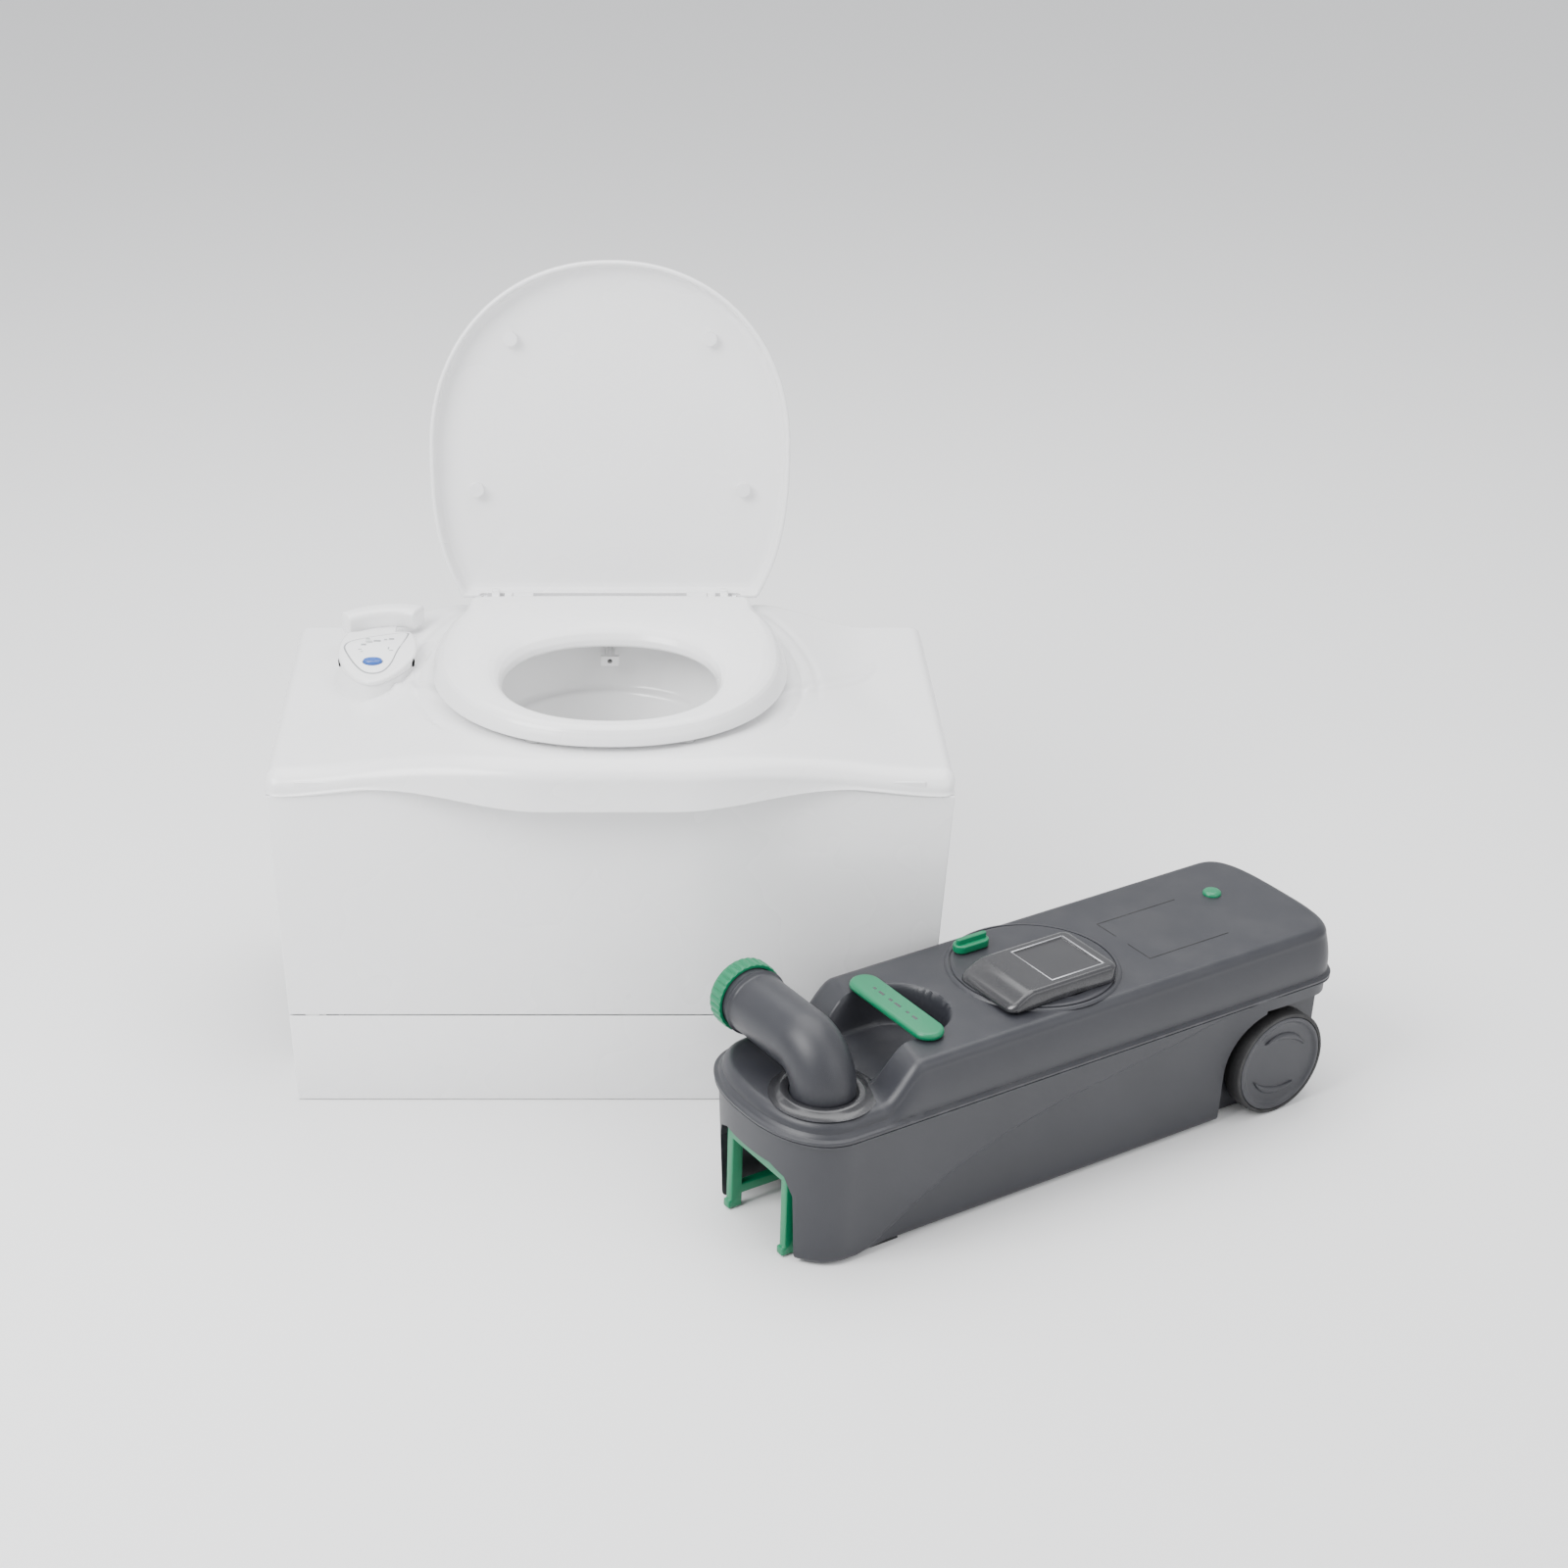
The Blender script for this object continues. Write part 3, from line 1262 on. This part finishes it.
@dataclass
class TankShells:
    """The two moulded halves of the waste tank."""

    length: float = 632.0
    half: float = 91.5
    nose: float = 60.0
    tail: float = 46.0
    nose_power: float = 0.88
    tail_power: float = 0.62
    seam: float = 132.0
    base: float = 2.0
    base_half: float = 86.0
    crown: float = 185.0
    low_deck: float = 150.0
    cup: tuple = (166.0, 0.0)
    wall: float = 3.0

    def spine(self, u: float) -> float:
        """Return the point of the middle line that a point at u is joined to."""
        return min(max(u, self.nose + 4.0), self.length - self.tail - 4.0)

    def outline(self, turn: float, inset: float) -> tuple:
        """Return (u, v) on the plan outline; the straight sides are sampled closely near the nose.

        Args:
            turn: the share of a whole turn round the outline, from 0 to 1.
            inset: how far inside the outline, in millimetres.

        Returns:
            the point (u, v), in millimetres.
        """
        nose, tail, half = self.nose - inset, self.tail - inset, self.half - inset
        share = turn % 1.0
        side = 1.0
        if share > 0.5:
            side, share = -1.0, 1.0 - share
        share *= 2.0
        if share < 0.25:
            angle = share / 0.25 * math.pi / 2
            return (self.nose - nose * power(math.cos(angle), self.nose_power),
                    side * half * power(math.sin(angle), self.nose_power))
        if share < 0.78:
            part = (share - 0.25) / 0.53
            split = 0.62
            near, far = 240.0, self.length - self.tail
            if part < split:
                return mix(self.nose, near, part / split), side * half
            return mix(near, far, (part - split) / (1 - split)), side * half
        angle = (1.0 - (share - 0.78) / 0.22) * math.pi / 2
        return (self.length - self.tail + tail * power(math.cos(angle), self.tail_power),
                side * half * power(math.sin(angle), self.tail_power))

    def top(self, u: float, v: float) -> float:
        """Return the height of the upper shell's top.

        Args:
            u: along the cassette, in millimetres.
            v: across the cassette, in millimetres.

        Returns:
            the height, in millimetres.
        """
        shift = 10.0 * smooth(-v, 20.0, 88.0) - 8.0 * smooth(v, 20.0, 88.0)
        run = (u + shift - 100.0) / 44.0
        rise = smooth(run, 0.0, 1.0)
        level = mix(self.low_deck, self.crown, rise)
        gap = math.hypot(u - self.cup[0], v - self.cup[1])
        if u < self.cup[0]:
            gap = max(abs(v - self.cup[1]), 0.0) if u > 88.0 else 99.0
            gap = mix(99.0, gap, smooth(u, 84.0, 104.0))
        floor = 147.0 + 2.0 * smooth(gap, 10.0, 42.0)
        level = mix(min(floor, level), level, smooth(gap, 37.0, 49.0))
        return level

    def upper_place(self, turn: float, share: float) -> Vector:
        """Return the upper shell's point from the seam over the roll to the spine.

        Args:
            turn: the share of a whole turn round the outline, from 0 to 1.
            share: how far along the section, from 0 to 1.

        Returns:
            the point, in metres.
        """
        wall_share, roll_share, roll = 0.24, 0.40, 10.0
        draft = 5.0
        u, v = self.outline(turn, draft + roll)
        top = self.top(u, v)
        roll = min(roll, top - self.seam - 3.0)
        if share < wall_share:
            k = share / wall_share
            height = mix(self.seam, top - roll, k)
            flange = 3.6 * (1 - smooth(height, self.seam + 3.0, self.seam + 4.4))
            belly = 1.6 * math.sin(math.pi * k)
            u, v = self.outline(turn, 1.6 + (draft - 1.6) * k ** 1.3 - flange - belly)
        elif share < roll_share:
            angle = (share - wall_share) / (roll_share - wall_share) * math.pi / 2
            u, v = self.outline(turn, draft + roll * (1 - math.cos(angle)))
            height = top - roll * (1 - math.sin(angle))
            height = mix(height, min(height, self.top(u, v)), smooth(angle, 0.8, 1.5))
        else:
            k = (share - roll_share) / (1 - roll_share)
            u, v = mix(u, self.spine(u), k), mix(v, 0.0, k)
            height = self.top(u, v)
        return Vector((u, v, height)) * MM

    def crease(self, u: float) -> float:
        """Return the height of the side's long crease at u.

        Args:
            u: along the cassette, in millimetres.

        Returns:
            the height, in millimetres.
        """
        knots = ((0.0, -30.0), (93.0, 14.0), (130.0, 38.0), (175.0, 63.0), (230.0, 81.0), (290.0, 95.0),
                 (410.0, 112.0), (470.0, 123.0), (640.0, 150.0))
        return along_knots(knots, u)[0]

    def lower_place(self, turn: float, share: float) -> Vector:
        """Return the lower shell's point from the spine's cap down the wall to the bottom.

        Args:
            turn: the share of a whole turn round the outline, from 0 to 1.
            share: how far along the section, from 0 to 1.

        Returns:
            the point, in metres.
        """
        cap_share, wall_share = 0.06, 0.86
        if share < cap_share:
            k = 1 - share / cap_share
            u, v = self.outline(turn, -2.0)
            return Vector((mix(u, self.spine(u), k), mix(v, 0.0, k), self.seam)) * MM
        if share < wall_share:
            k = (share - cap_share) / (wall_share - cap_share)
            height = mix(self.seam, self.base, k)
            flange = 3.8 * smooth(height, self.seam - 4.4, self.seam - 3.0) - 1.8
            draft = (self.half - self.base_half) * (self.seam - height) / (self.seam - self.base)
            u, _ = self.outline(turn, draft)
            below = smooth(self.crease(u) - height, -1.0, 1.8) * smooth(u, 60.0, 110.0)
            sunk = 5.4 * below * (1 - smooth(u, 486.0, 560.0))
            curl = 5.0 * (1 - math.sqrt(max(0.0, 1 - (max(0.0, self.base + 6.0 - height) / 6.0) ** 2)))
            u, v = self.outline(turn, draft - flange + sunk + curl)
            return Vector((u, v, height)) * MM
        k = (share - wall_share) / (1 - wall_share)
        u, v = self.outline(turn, self.half - self.base_half + 8.6)
        return Vector((mix(u, self.spine(u), k), mix(v, 0.0, k), self.base)) * MM

    def build_upper(self) -> None:
        """Make the upper half, with the port and the spout's neck cut through."""
        mesh = surface(480, 84, self.upper_place)
        piece = settle("tank_top", mesh, "cassette", Finish.SLATE, ["tank_upper_shell"], 50.0)
        face_up(piece)
        shell = piece.modifiers.new("wall", "SOLIDIFY")
        shell.thickness = self.wall * MM
        shell.offset = -1.0
        bake_modifiers(piece)
        cut_away(piece, cylinder_between((320.0, -24.0, 170.0), (320.0, -24.0, 200.0), 45.0))
        cut_away(piece, cylinder_between((62.0, -34.0, 135.0), (62.0, -34.0, 170.0), 27.0))
        move_to_cassette(piece)

    def build_lower(self) -> None:
        """Make the lower half, with the handle arch, its channel and the wheel wells."""
        mesh = surface(600, 120, self.lower_place)
        piece = settle("tank_base", mesh, "cassette", Finish.SLATE, ["tank_lower_shell"], 50.0)
        face_up(piece)
        arch = [(-58.0, -20.0), (-58.0, 70.0), (-50.0, 88.0), (-34.0, 96.0), (34.0, 96.0), (50.0, 88.0),
                (58.0, 70.0), (58.0, -20.0)]
        cut_away(piece, prism(((-20.0, v, z) for v, z in arch), (80.0, 0.0, 0.0)))
        cut_away(piece, block((-20.0, -58.0, -20.0), (300.0, 58.0, 36.0), 3.0, 3))
        for side in (-1.0, 1.0):
            v_in, v_out = side * 64.0, side * 110.0
            cut_away(piece, cylinder_between((558.0, v_in, 53.5), (558.0, v_out, 53.5), 62.0))
            low, high = sorted((v_in, v_out))
            cut_away(piece, block((538.0, low, -20.0), (660.0, high, 115.5), 0.0))
            cut_away(piece, block((496.0, low, -20.0), (560.0, high, 53.5), 0.0))
        cut_away(piece, block((66.0, -77.0, 40.0), (488.0, 77.0, 140.0), 0.0))
        move_to_cassette(piece)

    def build(self) -> None:
        """Make both halves."""
        self.build_upper()
        self.build_lower()


def face_up(piece: bpy.types.Object) -> None:
    """Turn a shell's faces outward by looking at its highest face.

    Args:
        piece: the piece to change.
    """
    top = max(piece.data.polygons, key=lambda face: face.center.z)
    if top.normal.z < 0:
        piece.data.flip_normals()


def move_to_cassette(piece: bpy.types.Object) -> None:
    """Move a piece modelled in the cassette's own frame to where the cassette stands.

    Args:
        piece: the piece to change.
    """
    piece.data.transform(CASSETTE)
    piece.data.shade_smooth()
    piece.data.set_sharp_from_angle(angle=math.radians(45.0))


@dataclass
class Deck:
    """The parts on the tank's crown: plate, cover, opener, grip and vent."""

    crown: float = 185.0
    cover_low: float = 188.4
    cover_high: float = 204.4

    def build_plate(self) -> None:
        """Make the round mechanism plate with a stepped edge and an open port."""
        ring = ((40.0, 185.2), (40.0, 187.4), (41.0, 187.9), (66.0, 187.9), (75.4, 187.6), (76.2, 187.0),
                (76.4, 186.0), (77.6, 186.0), (77.8, 187.0), (79.0, 187.2), (80.6, 186.6), (82.0, 185.1),
                (60.0, 185.1), (40.0, 185.2))

        def place(turn: float, share: float) -> Vector:
            """Return the plate's point; the port sits off the plate's middle.

            Args:
                turn: the share of a whole turn round the outline, from 0 to 1.
                share: how far along the section, from 0 to 1.

            Returns:
                the point, in metres.
            """
            radius, height = along_levels(ring, share)
            shift = -24.0 * (1 - smooth(radius, 41.0, 62.0))
            angle = turn * 2 * math.pi
            return Vector((320.0 + radius * math.cos(angle), shift + radius * math.sin(angle), height)) * MM

        mesh = surface(128, (len(ring) - 1) * 3, place)
        settle("deck_plate", mesh, "cassette", Finish.SLATE, ["mechanism_plate"], 40.0, CASSETTE)

    def build_cover(self) -> None:
        """Make the glossy cover with its ramp and the bright bevelled frame."""
        low, high = self.cover_low, self.cover_high

        def place(across: float, along: float) -> Vector:
            """Return the cover's top and side surface point.

            Args:
                across: the share across, from 0 to 1.
                along: the share along, from 0 to 1.

            Returns:
                the point, in metres.
            """
            u = mix(245.0, 370.0, along)
            v = mix(-64.0, 16.0, across)
            ramp_height = mix(low + 4.6, high, smooth(u, 243.0, 272.0))
            edge = min(u - 245.0, 370.0 - u, v + 64.0, 16.0 - v)
            corner_u = max(abs(u - 307.5) - 52.5, 0.0)
            corner_v = max(abs(v + 24.0) - 30.0, 0.0)
            reach = math.hypot(corner_u, corner_v)
            round_off = max(0.0, reach - 4.0) / 6.0
            drop = 5.0 * (1 - math.sqrt(max(0.0, 1 - min(round_off, 1.0) ** 2)))
            if reach > 10.0:
                u = 307.5 + math.copysign(52.5 + corner_u * 10.0 / reach, u - 307.5)
                v = -24.0 + math.copysign(30.0 + corner_v * 10.0 / reach, v + 24.0)
            frame_gap = max(abs(u - 328.0) - 30.0, abs(v + 24.0) - 30.0)
            groove = 1.5 * (1 - smooth(frame_gap, -2.2, -0.8))
            height = ramp_height - drop - groove
            if edge <= 0.0:
                height = low
            return Vector((u, v, height)) * MM

        top = surface(150, 220, place)
        floor_face(top, low)
        settle("cover_shell", top, "cover_part", Finish.SLATE_SMOOTH, ["sliding_cover"], 35.0,
               CASSETTE)
        rim = bmesh.new()
        for corners in (((297.5, -54.8), (358.6, -53.2)), ((297.5, 5.2), (358.6, 6.8)),
                        ((297.4, -54.8), (298.4, 6.8)), ((357.0, -54.8), (358.8, 6.8))):
            join(rim, block((*corners[0], high - 1.2), (*corners[1], high + 0.15), 0.3, 2))
        settle("cover_frame", rim, "cover_part", Finish.BRIGHT, (), 35.0, CASSETTE)

    def build_opener(self) -> None:
        """Make the green turning block with its finger ridge."""
        body = rounded_bar((289.0, 54.0), 19.0, 8.0, 8.0, 188.4, 196.5, 1.6)
        ridge = rounded_bar((289.0, 54.0), 17.0, 2.6, 2.6, 195.0, 201.9, 1.4)
        settle("opener_look", join(body, ridge), "opener_part", Finish.GREEN, ["blade_opener"], 40.0,
               CASSETTE)

    def build_grip(self) -> None:
        """Make the carry grip's bar with small generic dashes sunk in its top."""
        bar = rounded_bar((164.0, 0.0), 15.0, 62.0, 15.0, 185.2, 192.8, 3.4)
        settle("grip_bar", bar, "cassette", Finish.GREEN, ["carry_grip"], 40.0, CASSETTE)
        marks = bmesh.new()
        for step, width in enumerate((7.0, 4.0, 9.0, 5.0, 8.0, 4.0)):
            v = -32.0 + step * 12.5
            join(marks, block((162.2, v, 192.6), (165.0, v + width, 192.95), 0.1, 1))
        settle("grip_marks", marks, "cassette", Finish.SLATE_SMOOTH, (), 40.0, CASSETTE)

    def build_vent(self) -> None:
        """Make the domed vent button."""
        button = spun(((0.0, 189.0), (5.0, 188.8), (7.6, 188.2), (8.8, 187.0), (9.0, 185.6), (9.0, 180.0),
                       (0.0, 180.0)), 64)
        shift = CASSETTE @ Matrix.Translation((0.559, 0.024, 0.0))
        settle("vent_cap", button, "vent_part", Finish.GREEN, ["vent_button"], 40.0, shift)

    def build_label_line(self) -> None:
        """Make the thin line on the deck that frames the space for a label."""
        line = bmesh.new()
        for corners in (((424.0, -44.0), (520.0, -43.0)), ((424.0, 33.0), (520.0, 34.0)),
                        ((423.4, -44.0), (424.4, -12.0)), ((423.4, 6.0), (424.4, 34.0))):
            join(line, block((*corners[0], self.crown - 0.2), (*corners[1], self.crown + 0.3), 0.1, 1))
        settle("label_line", line, "cassette", Finish.SLATE_DARK, (), 40.0, CASSETTE)

    def build(self) -> None:
        """Make the crown's parts."""
        self.build_label_line()
        self.build_plate()
        self.build_cover()
        self.build_opener()
        self.build_grip()
        self.build_vent()


def floor_face(mesh: bmesh.types.BMesh, low: float) -> None:
    """Drop the open edge of a cap to a level and close it.

    Args:
        mesh: the bmesh to change.
        low: the level, in millimetres.
    """
    edges = [edge for edge in mesh.edges if edge.is_boundary]
    made = bmesh.ops.extrude_edge_only(mesh, edges=edges)
    for item in made["geom"]:
        if isinstance(item, bmesh.types.BMVert):
            item.co.z = low * MM
    rest = [edge for edge in mesh.edges if edge.is_boundary]
    bmesh.ops.holes_fill(mesh, edges=rest)
    bmesh.ops.remove_doubles(mesh, verts=mesh.verts, dist=2e-6)
    bmesh.ops.recalc_face_normals(mesh, faces=mesh.faces)


def rounded_bar(middle: tuple, half_u: float, half_v: float, corner: float, low: float, high: float,
                edge: float) -> bmesh.types.BMesh:
    """Make a bar with rounded ends in plan and softened edges.

    Args:
        middle: the bar's middle (u, v).
        half_u: the half length along u.
        half_v: the half length along v.
        corner: the corners' radius.
        low: the underside.
        high: the top.
        edge: the edges' rounding.

    Returns:
        the bmesh, in metres.
    """
    points = []
    for index, (side_u, side_v) in enumerate(((1, 1), (-1, 1), (-1, -1), (1, -1))):
        for step in range(13):
            angle = (index + step / 12) * math.pi / 2
            points.append((middle[0] + side_u * (half_u - corner) + corner * math.cos(angle),
                           middle[1] + side_v * (half_v - corner) + corner * math.sin(angle)))
    unique = [point for point, after in zip(points, points[1:] + points[:1])
              if math.hypot(point[0] - after[0], point[1] - after[1]) > 1e-4]
    return outline_block(unique, low, high, edge, 4)


@dataclass
class Spout:
    """The swivelling elbow, its socket and its ribbed cap."""

    axis: tuple = (62.0, -34.0)
    radius: float = 29.6
    bend: float = 33.0
    start: float = 151.8
    centre_height: float = 187.0
    reach: float = 95.5

    def centre(self, share: float) -> Vector:
        """Return the elbow's centre line.

        Args:
            share: how far along the elbow, from 0 to 1.

        Returns:
            the point, in millimetres.
        """
        rise = self.centre_height - self.bend
        legs = (rise - self.start, self.bend * math.pi / 2, self.reach - self.axis[1] - self.bend)
        walk = share * sum(legs)
        if walk <= legs[0]:
            return Vector((*self.axis, self.start + walk))
        walk -= legs[0]
        if walk <= legs[1]:
            angle = walk / self.bend
            return Vector((self.axis[0], self.axis[1] + self.bend * (1 - math.cos(angle)),
                           rise + self.bend * math.sin(angle)))
        return Vector((self.axis[0], self.axis[1] + self.bend + walk - legs[1], self.centre_height))

    def build(self) -> None:
        """Make elbow, socket and cap."""
        def radius(share: float) -> float:
            """Return the tube's radius: a low collar at the neck and a bead before the cap.

            Args:
                share: how far along the section, from 0 to 1.

            Returns:
                the radius, in millimetres.
            """
            collar = 0.4 * (1 - smooth(share, 0.0, 0.03))
            bead = 2.6 * math.exp(-((share - 0.86) / 0.012) ** 2)
            return self.radius + collar + bead

        elbow = tube(self.centre, radius, 150, 72)
        settle("elbow", elbow, "spout_part", Finish.SLATE, ["pour_spout"], 50.0, CASSETTE)
        ring = spun(((49.0, 150.1), (44.0, 150.6), (40.6, 151.8), (38.8, 153.2), (37.4, 154.0), (34.0, 154.2),
                     (31.6, 153.8), (30.8, 153.0), (30.8, 150.0), (49.0, 150.0), (49.0, 150.1)), 96)
        shift = CASSETTE @ Matrix.Translation((self.axis[0] * MM, self.axis[1] * MM, 0.0))
        settle("neck_ring", ring, "cassette", Finish.SLATE_SMOOTH, ["spout_socket"], 40.0, shift)
        self.build_cap()

    def build_cap(self) -> None:
        """Make the cap: a ribbed ring with a sunk face."""
        levels = ((30.4, 84.2), (33.0, 84.2), (33.8, 85.0), (34.0, 86.5), (34.0, 97.5), (33.6, 99.6), (32.4, 100.8),
                  (30.0, 101.0), (28.6, 100.4), (28.0, 99.0), (0.0, 98.6))

        def place(turn: float, share: float) -> Vector:
            """Return the cap's point, ribbed round its side.

            Args:
                turn: the share of a whole turn round the outline, from 0 to 1.
                share: how far along the section, from 0 to 1.

            Returns:
                the point, in metres.
            """
            radius, along = along_levels(levels, share)
            rib = 0.5 + 0.5 * math.cos(30 * turn * 2 * math.pi)
            radius -= 1.5 * (rib ** 3) * smooth(radius, 32.6, 33.9)
            angle = turn * 2 * math.pi
            return Vector((self.axis[0] + radius * math.cos(angle), along,
                           self.centre_height + radius * math.sin(angle))) * MM

        mesh = surface(480, (len(levels) - 1) * 3, place)
        settle("cap_look", mesh, "cap_part", Finish.GREEN, ["spout_cap"], 50.0, CASSETTE)


@dataclass
class Wheels:
    """Both wheels: a disc with two raised crescents and a thin tyre."""

    hub_u: float = 558.0
    hub_z: float = 53.5

    def build(self) -> None:
        """Make the left and right wheels."""
        disc = ((0.0, 72.6), (46.0, 72.6), (48.8, 73.4), (49.4, 75.0), (49.4, 90.6), (48.6, 92.0), (46.8, 92.4),
                (45.0, 92.0), (44.0, 90.8), (42.5, 89.8), (40.0, 89.6), (20.0, 90.0), (0.0, 90.2))
        tyre = ((49.5, 72.8), (52.4, 73.2), (53.4, 74.6), (53.5, 82.5), (53.4, 90.6), (52.4, 91.8), (49.5, 92.0))
        for side, name in ((-1.0, "right"), (1.0, "left")):
            turn = Matrix.Translation(Vector((self.hub_u, 0.0, self.hub_z)) * MM) @ Matrix.Rotation(
                side * -math.pi / 2, 4, "X")
            body = spun(disc, 128)
            for start in (20.0, 200.0):
                join(body, self.crescent(start))
            body.normal_update()
            settle(f"{name}_disc", body, f"{name}_wheel_part", Finish.SLATE, [f"{name}_wheel"],
                   40.0, CASSETTE @ turn)
            settle(f"{name}_tread", spun(tyre + (tyre[0],), 128), f"{name}_wheel_part",
                   Finish.RUBBER, [f"{name}_tyre"], 40.0, CASSETTE @ turn)

    @staticmethod
    def crescent(start: float) -> bmesh.types.BMesh:
        """Make one raised crescent on the disc's face.

        Args:
            start: where it starts round the wheel, in degrees.

        Returns:
            the bmesh, in metres.
        """
        def place(across: float, along: float) -> Vector:
            """Return the crescent's point, thick in its middle and thin at its tips.

            Args:
                across: the share across, from 0 to 1.
                along: the share along, from 0 to 1.

            Returns:
                the point, in metres.
            """
            angle = math.radians(start + 110.0 * along)
            thick = 8.0 * math.sin(math.pi * along) ** 0.8
            radius = 33.0 - thick * across
            height = 89.4 + 2.6 * math.sin(math.pi * across) ** 0.5 * min(1.0, 6 * math.sin(math.pi * along))
            return Vector((radius * math.cos(angle), radius * math.sin(angle), height)) * MM
        mesh = surface(12, 60, place)
        rims = [edge for edge in mesh.edges if edge.is_boundary]
        bmesh.ops.holes_fill(mesh, edges=rims)
        bmesh.ops.recalc_face_normals(mesh, faces=mesh.faces)
        return mesh


def softened(node: str, name: str, body: str, finish: Finish, width: float = 1.0) -> None:
    """Stand in for a CAD node with a merged copy whose edges are rounded.

    Args:
        node: the CAD node.
        name: the new piece's name.
        body: the body that the piece rides on.
        finish: the finish to use.
        width: the rounding, in millimetres.
    """
    mesh = bmesh.new()
    mesh.from_mesh(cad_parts[node].data)
    bmesh.ops.remove_doubles(mesh, verts=mesh.verts, dist=1e-6)
    bmesh.ops.dissolve_limit(mesh, angle_limit=math.radians(1.0), verts=mesh.verts, edges=mesh.edges)
    soften(mesh, width, 3, 50.0)
    settle(name, mesh, body, finish, [node], 40.0)


# ------------------------------------------------------------------ finishes for the remaining CAD nodes
NODE_FINISHES = {
    Finish.WHITE_SATIN: ("left_side_panel", "right_side_panel", "back_panel", "hinge_brackets", "latch_housing",
                          "lid_buffers"),
    Finish.TRAY: ("base_tray", "guide_runners", "control_box", "drive_bracket", "water_valve"),
    Finish.STEEL: ("hinge_pin", "lever_shaft", "link_rod", "wheel_axle", "vent_spring"),
    Finish.HOSE: ("flush_hose",),
    Finish.WHITE_BOWL: ("flush_nozzle",),
    Finish.BUFFER: ("seat_buffers",),
    Finish.RUBBER: ("outlet_seal", "cap_seal", "lip_seal"),
    Finish.LENS: ("level_light",),
    Finish.SLATE_DARK: ("float_bracket", "axle_brackets", "foot_pads", "handle_guides", "vent_socket"),
    Finish.SLATE_SMOOTH: ("valve_blade", "level_float", "drive_dog", "cassette_latch"),
}


def dress_nodes() -> None:
    """Give every CAD node that stays in view its finish."""
    for finish, nodes in NODE_FINISHES.items():
        for node in nodes:
            PAINTS.dress_node(node, finish)


# ------------------------------------------------------------------ the setting
@dataclass
class Studio:
    """A pale floor, a soft key from the left, a broad fill and the photographed viewpoint."""

    lens: float = 67.5
    distance: float = 2.6179
    height: float = 1.5344
    pitch: float = 25.909
    shift_x: float = 0.1110
    shift_y: float = -0.0050

    def light(self, name: str, place: tuple, aim: tuple, size: float, energy: float) -> bpy.types.Object:
        """Add a square area light that aims at a point.

        Args:
            name: the name to give.
            place: where it hangs, in metres.
            aim: the point it looks at, in metres.
            size: its side, in metres.
            energy: its power, in watts.

        Returns:
            the lamp.
        """
        data = bpy.data.lights.new(name, "AREA")
        data.size = size
        data.energy = energy
        lamp = bpy.data.objects.new(name, data)
        lamp.location = place
        lamp.rotation_euler = (Vector(aim) - Vector(place)).to_track_quat("-Z", "Y").to_euler()
        bpy.context.scene.collection.objects.link(lamp)
        return lamp

    def floor(self) -> bpy.types.Object:
        """Make the plain pale floor.

        Returns:
            the floor's object.
        """
        mesh = bmesh.new()
        bmesh.ops.create_grid(mesh, x_segments=1, y_segments=1, size=20.0)
        data = bpy.data.meshes.new("floor")
        mesh.to_mesh(data)
        mesh.free()
        data.transform(Matrix.Translation((0.0, 0.0, -0.0005)))
        material = bpy.data.materials.new("pale_floor")
        material.use_nodes = True
        shader = material.node_tree.nodes["Principled BSDF"]
        shader.inputs["Base Color"].default_value = (0.86, 0.86, 0.86, 1.0)
        shader.inputs["Roughness"].default_value = 0.7
        data.materials.append(material)
        piece = bpy.data.objects.new("floor", data)
        bpy.context.scene.collection.objects.link(piece)
        return piece

    def build(self) -> None:
        """Set the floor, the lights, the world and the camera."""
        scene = bpy.context.scene
        lamps = (self.light("key", (-1.6, -1.3, 2.3), (0.1, 0.0, 0.25), 1.6, 105.0),
                 self.light("fill", (2.2, -1.8, 1.6), (0.2, -0.1, 0.2), 2.2, 26.0),
                 self.light("top", (0.2, 0.5, 2.6), (0.1, 0.0, 0.2), 2.4, 72.0))
        self.floor()
        world = bpy.data.worlds.new("studio")
        world.use_nodes = True
        backdrop = world.node_tree.nodes["Background"]
        backdrop.inputs["Color"].default_value = (0.97, 0.98, 1.0, 1.0)
        backdrop.inputs["Strength"].default_value = 1.05
        scene.world = world
        data = bpy.data.cameras.new("view")
        data.lens = self.lens
        data.sensor_width = 36.0
        data.shift_x = self.shift_x
        data.shift_y = self.shift_y
        camera = bpy.data.objects.new("view", data)
        camera.location = (0.0, -self.distance, self.height)
        camera.rotation_euler = (math.radians(90.0 - self.pitch), 0.0, 0.0)
        scene.collection.objects.link(camera)
        scene.camera = camera


def main() -> None:
    """Build the whole object and its setting."""
    logging.basicConfig(level=logging.INFO)
    TopMoulding().build()
    Panels().build()
    Seat().build()
    Lid().build()
    Bowl().build()
    Console().build()
    TankShells().build()
    Deck().build()
    Spout().build()
    Wheels().build()
    softened("pull_handle", "handle_bail", "handle_part", Finish.GREEN, 2.2)
    dress_nodes()
    Studio().build()


if __name__ == "__main__":
    main()
